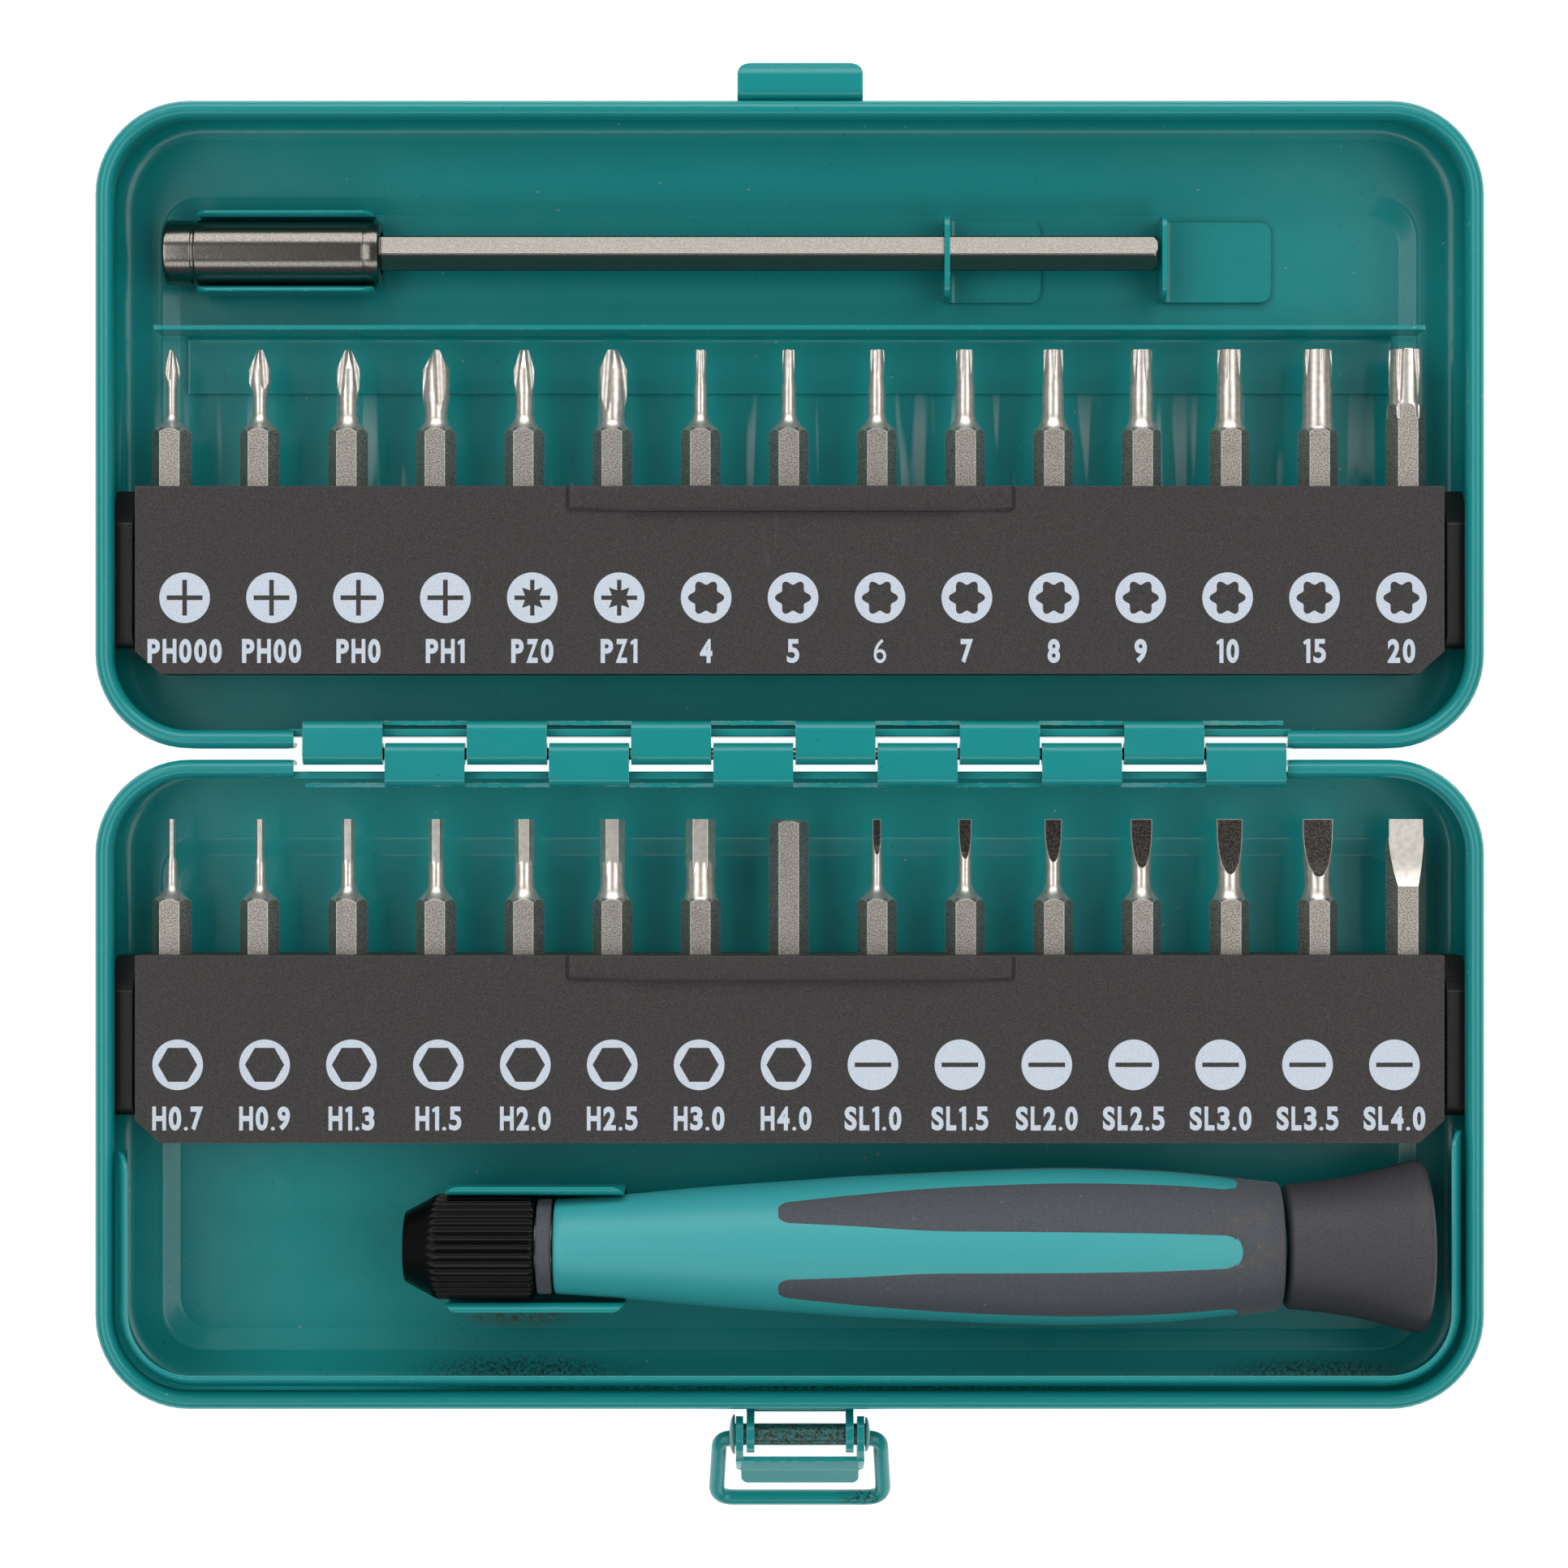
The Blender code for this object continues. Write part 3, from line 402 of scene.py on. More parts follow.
# The light grey-teal is bare metal where paint has chipped; lid_paint also uses it for a painted
# reflection.
TEAL, TEAL_DEEP, BARE_AND_REFLECTION = (0.008, 0.290, 0.290), (0.007, 0.255, 0.258), (0.42, 0.56, 0.56)
# The near-black is dirt in smudges, and also painted shade in the crevice under the base's dust
# lip.
GRIME_AND_SHADE, RUST = (0.012, 0.012, 0.010), (0.10, 0.045, 0.015)


def paint(tree, wear=0.58, marks=()):
    """Gloss enamel: faint orange peel, dust, worn edges and marks as (colour, centre, radii)."""
    colour = mix(tree, noise(tree, 25, 2), TEAL, TEAL_DEEP)
    chips = times(tree, edges(tree, 0.14), between(tree, noise(tree, 0.9, 6), wear, wear + 0.08))
    colour = mix(tree, times(tree, specks(tree, 0.8, 0.035), 0.5), colour, (0.02, 0.05, 0.045))
    colour = mix(tree, times(tree, specks(tree, 0.8, 0.008), 0.5), colour, BARE_AND_REFLECTION)
    for mark, centre, radii in marks:
        grain = between(tree, noise(tree, 0.4, 8), 0.36, 0.68)
        share = times(tree, blot(tree, centre, radii), grain)
        colour = mix(tree, times(tree, share, 0.9), colour, mark)
    colour = mix(tree, times(tree, chips, 0.8), colour, BARE_AND_REFLECTION)
    peel = maths(tree, "ADD", noise(tree, 0.8, 2), times(tree, noise(tree, 7, 1), 6.0))
    rough = maths(tree, "ADD", 0.18, times(tree, noise(tree, 6, 3), 0.10))
    return {
        "Base Color": colour, "Roughness": rough, "Normal": bump(tree, peel, 0.012),
        "Specular IOR Level": 0.42, "Coat Weight": 0.1, "Coat Roughness": 0.15,
    }


def lid_paint(tree):
    """Lid enamel, with light lines on its floor between the bits: a painted reflection."""
    values = paint(tree)
    reflection_streaks = between(tree, noise(tree, 1.5, 0, 0.3, stretch=(1, 0.055, 1)), 0.66, 0.74)
    normal = add_node(tree, "ShaderNodeTexCoord").outputs["Normal"]
    upward = add_node(tree, "ShaderNodeSeparateXYZ", {0: normal}).outputs[2]
    inside = between(tree, upward, 0.3, 0.6)
    reflection_streaks = times(tree, reflection_streaks, inside)
    # Painted reflection: light lines mixed into the colour of the floor between the bits.
    share = times(tree, blot(tree, (0, 36, 0.6), (150, 9, 3)), reflection_streaks)
    values["Base Color"] = mix(tree, times(tree, share, 0.6), values["Base Color"], BARE_AND_REFLECTION)
    return values


def base_paint(tree):
    marks = (
        (GRIME_AND_SHADE, (-31, -72.4, 1), (17, 2.6, 4)), (GRIME_AND_SHADE, (62, -72.4, 1), (15, 2.2, 4)),
        # The long dark band at the foot of the front wall, under the dust lip, is painted shade.
        (RUST, (-32, -66, 1), (9, 1.8, 3)), (GRIME_AND_SHADE, (3, -74, 3), (60, 1.4, 5)),
    )
    return paint(tree, marks=marks)


def latch_paint(tree):
    marks = (RUST, (1, -79, 8), (9, 3.2, 6)), (GRIME_AND_SHADE, (8.5, -87, 1), (4, 2.4, 4))
    return paint(tree, wear=0.42, marks=marks)


def rivet_paint(tree):
    shaft = blot(tree, (LATCH_X, RIVET_Y, RIVET_Z), (7.8, 4, 4))
    worn = between(tree, noise(tree, 0.3, 8), 0.38, 0.60)
    worn = times(tree, worn, between(tree, shaft, 0.0, 0.25))
    colour = mix(tree, worn, (0.006, 0.17, 0.165), (0.035, 0.033, 0.025))
    glint = times(tree, worn, between(tree, noise(tree, 0.12, 3), 0.58, 0.66))
    colour = mix(tree, glint, colour, (0.40, 0.35, 0.27))
    return {"Base Color": colour, "Roughness": 0.35, "Metallic": times(tree, worn, 0.6),
            "Normal": bump(tree, noise(tree, 0.3, 6), 0.04)}


def satin_steel(tree):
    """Nickel plate: fine grain, with brighter edges that are a painted highlight."""
    colour, rough = (0.60, 0.555, 0.50), 0.34
    grain = noise(tree, 0.15, 2)
    edge_wear_and_highlight = edges(tree, 0.18, 0.01, 0.07)
    tint = mix(tree, between(tree, grain, 0.32, 0.68), tuple(0.28 * c for c in colour), colour)
    tint = mix(tree, times(tree, between(tree, noise(tree, 1.5, 5), 0.5, 0.75), 0.3), tint,
               (0.22, 0.205, 0.18))
    # Painted highlight: near-white along the edges.
    tint = mix(tree, edge_wear_and_highlight, tint, (0.95, 0.92, 0.86))
    spread_out = maths(tree, "ADD", rough, times(tree, grain, 0.12))
    return {"Base Color": tint, "Metallic": 0.85, "Roughness": spread_out,
            "Normal": bump(tree, grain, 0.02)}


def bright_steel(tree):
    """The polished tips, with faint grinding lines across them."""
    lines = noise(tree, 0.35, 5, stretch=(0.25, 1, 1))
    clouds = between(tree, noise(tree, 0.7, 3), 0.35, 0.7)
    tint = mix(tree, clouds, (0.80, 0.755, 0.69), (0.66, 0.61, 0.55))
    # Painted highlight: near-white along the edges of the tips.
    tint = mix(tree, edges(tree, 0.16, 0.02, 0.12), tint, (0.97, 0.94, 0.88))
    return {"Base Color": tint, "Metallic": 0.82, "Roughness": 0.32,
            "Normal": bump(tree, lines, 0.004)}


def ground_steel(tree):
    """The dark, coarsely ground faces of the flat blades, with a painted highlight along their
    edges.
    """
    grain = noise(tree, 0.22, 4)
    tint = mix(tree, between(tree, grain, 0.35, 0.7), (0.035, 0.031, 0.028), (0.13, 0.118, 0.105))
    # Painted highlight: near-white along the blade's edges.
    tint = mix(tree, edges(tree, 0.17, 0.01, 0.08), tint, (0.97, 0.94, 0.88))
    return {"Base Color": tint, "Metallic": 0.9, "Roughness": 0.3,
            "Normal": bump(tree, grain, 0.01)}


def bar_steel(tree):
    """The drawn extension bar, with fine lines along it."""
    lines = noise(tree, 0.5, 4, stretch=(0.03, 1, 1))
    grain = noise(tree, 0.2, 5)
    tint = mix(tree, between(tree, grain, 0.35, 0.7), (0.185, 0.17, 0.152), (0.25, 0.236, 0.213))
    # Painted highlight: a light tint along the bar's edges.
    tint = mix(tree, edges(tree, 0.12, 0.03, 0.2), tint, (0.8, 0.77, 0.7))
    both = maths(tree, "ADD", grain, lines)
    return {"Base Color": tint, "Metallic": 1.0, "Roughness": 0.2,
            "Normal": bump(tree, both, 0.004)}


def moulded(tree, dark, light, rough=0.55):
    """Spark-eroded moulding texture, greyer where edges are worn."""
    worn = (0.10, 0.09, 0.09)
    grain = noise(tree, 0.16, 3)
    colour = mix(tree, between(tree, grain, 0.3, 0.7), dark, light)
    patches = between(tree, noise(tree, 0.6, 6), 0.3, 0.6)
    edge_wear_and_highlight = times(tree, edges(tree, 0.35, 0.02, 0.25), patches)
    colour = mix(tree, times(tree, edge_wear_and_highlight, 0.6), colour, worn)
    scuffs = between(tree, noise(tree, 1.1, 7, 1.5, stretch=(1, 0.12, 1)), 0.66, 0.74)
    colour = mix(tree, times(tree, scuffs, 0.18), colour, worn)
    return {"Base Color": colour, "Roughness": rough, "Specular IOR Level": 0.35,
            "Normal": bump(tree, grain, 0.03)}


def black_gloss(tree):
    colour = mix(tree, edges(tree, 0.10, 0.05, 0.3), (0.0015, 0.0015, 0.0015), (0.02, 0.02, 0.022))
    return {"Base Color": colour, "Roughness": 0.36, "Specular IOR Level": 0.2,
            "Normal": bump(tree, noise(tree, 0.5, 3), 0.006)}


def rust_stain(tree, colour, strength):
    """The brown haze round the handle's collar."""
    stain = times(tree, blot(tree, (51.5, HANDLE_Y + 2, HANDLE_Z + 6), (6, 7, 8)),
                  between(tree, noise(tree, 2.2, 6), 0.45, 0.75))
    return mix(tree, times(tree, stain, strength), colour, (0.14, 0.085, 0.05))


def teal_plastic(tree):
    grain = noise(tree, 0.35, 3)
    colour = mix(tree, noise(tree, 9, 3), (0.035, 0.36, 0.375), (0.045, 0.39, 0.405))
    return {"Base Color": rust_stain(tree, colour, 0.35), "Roughness": 0.42,
            "Normal": bump(tree, grain, 0.012)}


def soft_grey(tree):
    grain = noise(tree, 0.22, 4)
    colour = mix(tree, between(tree, grain, 0.3, 0.7), (0.050, 0.057, 0.068), (0.075, 0.083, 0.096))
    colour = mix(tree, times(tree, specks(tree, 1.0, 0.12), 0.5), colour, (0.16, 0.18, 0.20))
    return {"Base Color": rust_stain(tree, colour, 0.6), "Roughness": 0.68,
            "Normal": bump(tree, grain, 0.03), "Sheen Weight": 0.15, "Sheen Roughness": 0.5}


def cap_rubber(tree):
    grain = noise(tree, 0.25, 4)
    colour = mix(tree, between(tree, grain, 0.3, 0.7), (0.036, 0.034, 0.038), (0.052, 0.050, 0.055))
    return {"Base Color": colour, "Roughness": 0.58, "Normal": bump(tree, grain, 0.025)}


def ink(tree):
    """Pad-printed ink, thin enough for the moulding to show through."""
    grain = between(tree, noise(tree, 0.14, 3), 0.35, 0.5)
    colour = mix(tree, grain, (0.46, 0.52, 0.60), (0.63, 0.70, 0.79))
    return {"Base Color": colour, "Roughness": 0.6,
            "Normal": bump(tree, noise(tree, 0.16, 3), 0.02)}


HOLDER_BLACK = (0.022, 0.019, 0.019), (0.058, 0.052, 0.051)
# The brackets are black plastic, made darker than the holders as painted shade in the gap beside
# them.
BRACKET_BLACK_AND_SHADE = (0.004, 0.004, 0.004), (0.008, 0.008, 0.008)
FINISHES = {  # the slot that each one belongs to, its material's name and what builds it
    "paint": ("painted_steel", "gloss_enamel", paint),
    "lid_paint": ("painted_steel", "gloss_enamel_streaked", lid_paint),
    "base_paint": ("painted_steel", "gloss_enamel_marked", base_paint),
    "latch_paint": ("painted_steel", "worn_enamel", latch_paint),
    "rivet_paint": ("painted_steel", "rubbed_enamel", rivet_paint),
    "steel": ("bit_steel", "satin_nickel", satin_steel),
    "bright": ("bit_steel", "polished_nickel", bright_steel),
    "ground": ("bit_steel", "ground_nickel", ground_steel),
    "bar": ("bit_steel", "drawn_nickel", bar_steel),
    "black": ("black_metal", "black_gloss", black_gloss),
    "holder": ("dark_plastic", "moulded_black", lambda tree: moulded(tree, *HOLDER_BLACK)),
    "bracket": ("dark_plastic", "moulded_black_painted_shade",
                lambda tree: moulded(tree, *BRACKET_BLACK_AND_SHADE, rough=0.35)),
    "hinge_paint": ("painted_steel", "gloss_enamel_hinge", lambda tree: paint(tree, wear=0.50)),
    "teal": ("teal_plastic", "teal_grip", teal_plastic),
    "grey": ("soft_grey", "soft_grey_grip", soft_grey),
    "cap": ("soft_grey", "cap_rubber", cap_rubber),
    "ink": ("dark_plastic", "printed_ink", ink),
}
MATERIALS = {key: new_material(name, build) for key, (_, name, build) in FINISHES.items()}


# ---------------------------------------------------------------- case


def case_outline(half_x, rear, front, radius):
    corners = (
        (-half_x + radius, rear + radius, 180), (half_x - radius, rear + radius, 270),
        (half_x - radius, front - radius, 0), (-half_x + radius, front - radius, 90),
    )
    points = []
    for x, d, start in corners:
        points += arc((x, d), radius, start, start + 90, 14)
    return points


def step_height(t):
    """How far up the pressed step of the floor has come, with a faint bead along both bends."""
    bend = 0.12
    if not 0 < t < 1:
        up = 0.0 if t <= 0 else 1.0
    elif t < bend:
        up = t * t / (2 * bend * (1 - bend))
    elif t > 1 - bend:
        up = 1 - (1 - t) ** 2 / (2 * bend * (1 - bend))
    else:
        up = (t - bend / 2) / (1 - bend)
    beads = math.exp(-(((t - 0.93) / 0.06) ** 2)) - math.exp(-(((t - 0.07) / 0.06) ** 2))
    return up + 0.035 * beads


def case_shell(name, side, depth, panel, body, material):
    """One sheet drawn up into walls, with a stepped floor and a rolled rim."""
    outer, inner = panel
    rings = [((inner[0] - 3, inner[1] + 3, inner[2] - 3, 2.0), 0.0)]
    for t in spread(-0.1, 1.1, 36):
        size = [a + (b - a) * t for a, b in zip(inner, outer)]
        rings.append((size, STEP_Z * max(step_height(t), 0.0)))
    wall = [(2.6 - 2.6 * math.sin(a), 3.0 - (3.0 - STEP_Z) * math.cos(a))
            for a in spread(0, math.pi / 2, 7)]
    wall += [(RIM_R - RIM_R * math.cos(a), RIM_Z + 1.1 * RIM_R * math.sin(a))
             for a in spread(0, math.pi, 12)]
    wall.append((2 * RIM_R, 12.5))
    for inset, z in wall:
        rings.append(((HALF_X - inset, REAR + inset, depth - inset, CORNER_R - inset), z))
    bm = bmesh.new()
    loops = [[(x, side * d, z) for x, d in case_outline(*s)] for s, z in rings]
    grid = add_surface(bm, loops, True)
    floor = bm.faces.new(grid[0])
    bmesh.ops.recalc_face_normals(bm, faces=bm.faces)
    if floor.normal.z > 0:
        bmesh.ops.reverse_faces(bm, faces=bm.faces)
    shell = new_object(name, bm)
    solidify(shell, SHEET, -1.0)

    # The notch for the hinge, with its corners rounded as the sheet was cut
    a, b = ZONE
    notch = [(a - 0.5, -1)] + arc((a - 0.5, 1.15), 0.5, -90, 0, 5) + [(a, 3.3), (b, 3.3)]
    notch += arc((b + 0.5, 1.15), 0.5, 180, 270, 5) + [(b + 0.5, -1)]
    joined(shell, "DIFFERENCE", shape(add_prism, [(x, side * d) for x, d in notch], "Z", 1.4, 16))
    cutter = bmesh.new()
    low, high = sorted((-side, 2.1 * side))
    add_box(cutter, (a - 2.0, low, -1), (b + 2.0, high, 10.5))
    joined(shell, "DIFFERENCE", cutter)
    full = [(2.0, 12.95), (2.9, 12.95), (2.9, 11.5), (2.6, 11.2)]
    for reach, top in ((0.55, full), (2.2, [(2.0, 10.5), (2.6, 10.5)])):
        line = filleted([(3.8, 0.66), (2.0, 0.66)] + top + [(2.6, 1.25), (3.8, 1.14)], 0.25, 4)
        joined(shell, "UNION",
               shape(add_prism, [(side * d, z) for d, z in line], "X", a - reach, b + reach))
    low, high = sorted(((REAR + 0.1) * side, 2.4 * side))
    for x in (a - 2.35, b + 1.95):
        joined(shell, "UNION", shape(add_box, (x, low, 0.75), (x + 0.4, high, 10.4)))
    bevel(shell, 0.07, 2, 50)
    finished(shell, body, material, name, sharp=60)


def add_strip(bm, path, low, high, place, round_ends=(0, 0), columns=6):
    """A band of sheet along a path, its two ends rounded in plan. place(x, u, v) sets it down."""
    line = even(path, 0.22)
    step = math.dist(line[0], line[1])
    rows = []
    for i, (u, v) in enumerate(line):
        inset = 0.0
        for radius, k in zip(round_ends, (i, len(line) - 1 - i)):
            away = radius - k * step
            if radius and away > 0:
                inset = radius - math.sqrt(max(radius**2 - away**2, 0.0))
        rows.append([place(x, u, v) for x in across(low + inset, high - inset, columns)])
    add_surface(bm, rows)


def hinge_leaf(name, side, first, body):
    """The leaf inside the rear wall, with every second knuckle curled round the pin."""
    tab = filleted([(LEAF_Y, 12.0), (LEAF_Y, AXIS_Z + KNUCKLE_R), (0.4, AXIS_Z + KNUCKLE_R)], 1.1,
                   7)
    tab += arc((0, AXIS_Z), KNUCKLE_R, 90, 90 + 285, 20)
    bm = bmesh.new()
    for k in range(first, KNUCKLES, 2):
        x = HINGE_X0 + PITCH * k
        rows = [[(at, side * u, v) for at in across(x, x + PITCH - 0.25, 2)]
                for u, v in even(tab, 0.25)]
        add_surface(bm, rows)
    leaf = new_object(name, bm)
    solidify(leaf, 0.46)
    baked(leaf)
    plate = bmesh.new()
    near, far = sorted((side * (LEAF_Y - 0.25), side * (LEAF_Y + 0.25)))
    add_box(plate, (HINGE_X0, near, 5.0), (HINGE_X0 + PITCH * KNUCKLES - 0.25, far, 12.9))
    joined(leaf, "UNION", plate)
    bevel(leaf, 0.09, 2, 50)
    finished(leaf, body, "hinge_paint", name, sharp=60)


def hinge_pin():
    profile = [(-55.6, 0.5), (-55.45, 0.68), (56.45, 0.68), (56.6, 0.5)]
    mesh = shape(add_lathe, profile, (0, AXIS_Z), sides=24)
    finished(new_object("hinge_pin_steel", mesh), "case_base", "bar", "hinge_pin")


def dust_lip():
    """The strip inside the base's front and side walls that leans in above the rim."""
    radius, left_end, right_end, inset = 11.5, 45.6, 43.1, 2.85
    drops = ((0.0, 2.2), (0.15, 1.5), (0.4, 0.95), (0.8, 0.5), (1.4, 0.15), (2.0, 0.0))
    stations = [(-HALF_X, left_end + k, (1, 0), drop) for k, drop in drops]
    for sign, start in ((-1, 180), (1, 90)):
        for i in range(15):
            a = math.radians(start - 90 * i / 14)
            x = sign * (HALF_X - radius) + radius * math.cos(a)
            d = BASE_DEPTH - radius + radius * math.sin(a)
            stations.append((x, d, (-math.cos(a), -math.sin(a)), 0.0))
    stations += [(HALF_X, right_end + k, (-1, 0), drop) for k, drop in reversed(drops)]
    rows = []
    for x, d, (nx, nd), drop in stations:
        lean = 1.35 * (1 - drop / 2.8)
        section = filleted([(inset, 9.5), (inset, 13.3), (inset + lean, 17.1 - drop)], 1.2, 6)
        rows.append([(x + nx * t, -(d + nd * t), z) for t, z in section])
    bm = bmesh.new()
    add_surface(bm, rows)
    lip = new_object("dust_lip_strip", bm)
    solidify(lip, 0.42)
    bevel(lip, 0.14, 3, 50)
    finished(lip, "case_base", "paint", "dust_lip", sharp=60)


def tool_clip(node, x0, x1, y, z, radius, tip, body):
    """A spring clip: flat foot, two arms round a shaft of this radius, edges rolled outward."""
    half, pinch = radius + 0.37, 0.42 * radius
    arm = [(0.0, 0.95 - z), (0.62 * radius, 0.95 - z), (half + 0.35, -0.55 * radius),
           (half + 0.3, 0.0), (half, pinch), (half + 0.35, pinch + 0.8), (tip - 0.25, pinch + 0.75)]
    smooth = filleted(arm, 0.9, 6)
    path = [(-u, v) for u, v in reversed(smooth)] + smooth[1:]
    spring = shape(add_strip, path, x0, x1, lambda x, u, v: (x, y + u, z + v), (1.3, 1.3))
    clip = new_object(f"{node}_spring", spring)
    solidify(clip, 0.46)
    bevel(clip, 0.1, 2, 50)
    finished(clip, body, "paint", node, sharp=60)


def extension_bracket(node, x, foot_x, low, high, hole_r):
    """An upright across the extension with its foot on the lid's floor."""
    path = filleted([(foot_x, 1.05), (x + 0.35, 1.05), (x + 0.35, 8.3)], 1.3, 8)
    sheet = shape(add_strip, path, low, high, lambda y, u, v: (u, y, v), (1.3, 1.6))
    bracket = new_object(f"{node}_sheet", sheet)
    solidify(bracket, 0.62)
    baked(bracket)
    if hole_r:
        joined(bracket, "DIFFERENCE",
               shape(add_lathe, [(x - 2, hole_r), (x + 3, hole_r)], (EXT_Y, EXT_Z)))
    bevel(bracket, 0.1, 2, 50)
    finished(bracket, "case_lid", "paint", node, sharp=60)


def bit_divider():
    """The upright strip behind the upper bits, on its foot along the floor."""
    path = filleted([(42.4, 1.02), (49.2, 1.02), (49.2, 10.15)], 1.0, 7)
    bm = bmesh.new()
    rows = []
    for y, z in even(path, 0.3):
        half = 70.7 if z < 3.2 else 73.3
        rows.append([(x, y, z) for x in across(-half, half)])
    add_surface(bm, rows)
    strip = new_object("bit_divider_sheet", bm)
    solidify(strip, 0.5)
    bevel(strip, 0.12, 2, 50)
    finished(strip, "case_lid", "paint", "bit_divider", sharp=60)


def latch_catch():
    y = LID_DEPTH + 0.5
    path = filleted([(y, 5.5), (y, 12.95), (78.0, 12.95), (79.1, 12.3)], 1.1, 8)
    plate = shape(add_strip, path, LATCH_X - 7.2, LATCH_X + 7.2, lambda x, u, v: (x, u, v),
                  (0.5, 1.5), 10)
    catch = new_object("latch_catch_plate", plate)
    solidify(catch, 0.7)
    bevel(catch, 0.12, 2, 50)
    finished(catch, "case_lid", "paint", "latch_catch", sharp=60)


def holder_bracket(node, side, pivot_y, body):
    x0, x1 = sorted((side * 75.35, side * 77.95))
    a, b = pivot_y - 2.9, pivot_y + 15.4
    profile = [(a, 6.0), (a + 1.5, 2.0), (b, 2.0), (b, 8.0), (b - 4, 11.6), (a + 1.5, 11.6),
               (a, 10.4)]
    bracket = new_object(f"{node}_block", shape(add_prism, profile, "X", x0, x1))
    joined(bracket, "DIFFERENCE",
           shape(add_lathe, [(x0 - 1, 1.62), (x1 + 1, 1.62)], (pivot_y, BIT_Z)))
    bevel(bracket, 0.25, 3)
    finished(bracket, body, "bracket", node, flat_weight=True)


# ---------------------------------------------------------------- holders and their print


def bit_holder(node, pivot_y, body):
    """The moulded bar with its row of hexagonal sockets."""
    low, high = pivot_y - 5.87, pivot_y + 15.63
    outline = [
        (low + 1.8, HOLDER_Z0), (high - 0.8, HOLDER_Z0), (high, HOLDER_Z0 + 0.8), (high, HOLDER_Z1),
        (low, HOLDER_Z1), (low, HOLDER_Z0 + 2.2),
    ]
    holder = new_object(f"{node}_bar", shape(add_prism, outline, "X", -HOLDER_X, HOLDER_X))
    for sign in (-1, 1):
        wedge = [(sign * (HOLDER_X - 2.9), low - 1), (sign * (HOLDER_X + 1), low - 1),
                 (sign * (HOLDER_X + 1), low + 3.5), (sign * HOLDER_X, low + 2.6),
                 (sign * (HOLDER_X - 2.9), low)]
        joined(holder, "DIFFERENCE",
               shape(add_prism, wedge, "Z", HOLDER_Z0 - 1, HOLDER_Z1 + 2))
    back = high - 0.02
    rows = []
    for x, up in ((-25.7, 0.0), (-25.2, 0.5), (-19.3, 0.55), (-17.0, 1.05), (17.8, 1.05),
                  (20.1, 0.55), (25.4, 0.5), (25.9, 0.0)):
        z = HOLDER_Z1 + up
        rows.append([(x, back - 3.0, HOLDER_Z1 - 0.5), (x, back, HOLDER_Z1 - 0.8),
                     (x, back, z - 0.1),
                     (x, back - 0.3, z), (x, back - 2.4, z), (x, back - 2.9, z - 0.35)])
    joined(holder, "UNION", shape(add_surface, rows, closed=True, caps=True))
    sockets = bmesh.new()
    flats = 4.2 / 2 / math.cos(math.pi / 6)
    for i in range(15):
        x = BIT_X0 + BIT_PITCH * i
        corners = [turn((flats, 0), math.pi * k / 3) for k in range(6)]
        rows = [[(x + u, w, BIT_Z + v) for u, v in corners] for w in (high - 12.6, high + 1)]
        add_surface(sockets, rows, closed=True, caps=True)
    joined(holder, "DIFFERENCE", sockets)
    pins = bmesh.new()
    for sign in (-1, 1):
        inner, outer = sorted((sign * (HOLDER_X - 1), sign * 77.8))
        add_lathe(pins, [(inner, 1.5), (outer, 1.5)], (pivot_y, BIT_Z), sides=32)
    joined(holder, "UNION", pins)
    bevel(holder, 0.22, 3)
    finished(holder, body, "holder", node, flat_weight=True)


def printed(outlines, x, y, parts):
    """Flat ink from closed outlines, the first one outside and the others cut out of it."""
    curve = bpy.data.curves.new("print", "CURVE")
    curve.dimensions, curve.fill_mode, curve.extrude = "2D", "BOTH", INK / 2
    for outline in outlines:
        spline = curve.splines.new("POLY")
        spline.points.add(len(outline) - 1)
        spline.use_cyclic_u = True
        for at, (u, v) in zip(spline.points, outline):
            at.co = (u, v, 0, 1)
    add_flat(curve, Matrix.Translation((x, y, 0)), parts)


def add_flat(curve, matrix, parts):
    """Turns a flat curve or text into mesh and adds it to a bmesh, on top of a holder."""
    obj = bpy.data.objects.new("flat", curve)
    bpy.context.scene.collection.objects.link(obj)
    bpy.context.view_layer.update()
    mesh = bpy.data.meshes.new_from_object(obj.evaluated_get(bpy.context.evaluated_depsgraph_get()))
    mesh.transform(Matrix.Translation((0, 0, HOLDER_Z1 + INK / 2)) @ matrix)
    parts.from_mesh(mesh)
    bpy.data.objects.remove(obj)
    bpy.data.meshes.remove(mesh)


GAP = 0.31
# How far strokes are thickened, where it isn't the usual 0.04: more would break these outlines
BOLDER = {"5": 0.03, "6": 0.0}
WIDTHS = {".": 0.46, "1": 0.86, "L": 1.14, "S": 1.38, "P": 1.42, "H": 1.58, "Z": 1.36}
ONE = ((0.36, 0.0), (0.82, 0.0), (0.82, 2.75), (0.44, 2.75), (0.0, 2.42), (0.10, 2.06),
       (0.36, 2.22))


def add_letter(letter, width, x, y, parts):
    """One printed character, drawn to a width, standing on a line at this height."""
    text = bpy.data.curves.new("size", "FONT")
    text.body, text.size, text.offset, text.extrude = letter, 1.0, BOLDER.get(letter, 0.04), INK / 2
    obj = bpy.data.objects.new("letter", text)
    bpy.context.scene.collection.objects.link(obj)
    bpy.context.view_layer.update()
    low, high = Vector(obj.bound_box[0]), Vector(obj.bound_box[6])
    bpy.data.objects.remove(obj)
    height = 0.42 if letter == "." else TEXT_HEIGHT
    size = Matrix.Diagonal((width / (high.x - low.x), height / (high.y - low.y), 1, 1))
    back = Matrix.Translation((-low.x, -low.y, 0))
    add_flat(text, Matrix.Translation((x, y, 0)) @ size @ back, parts)


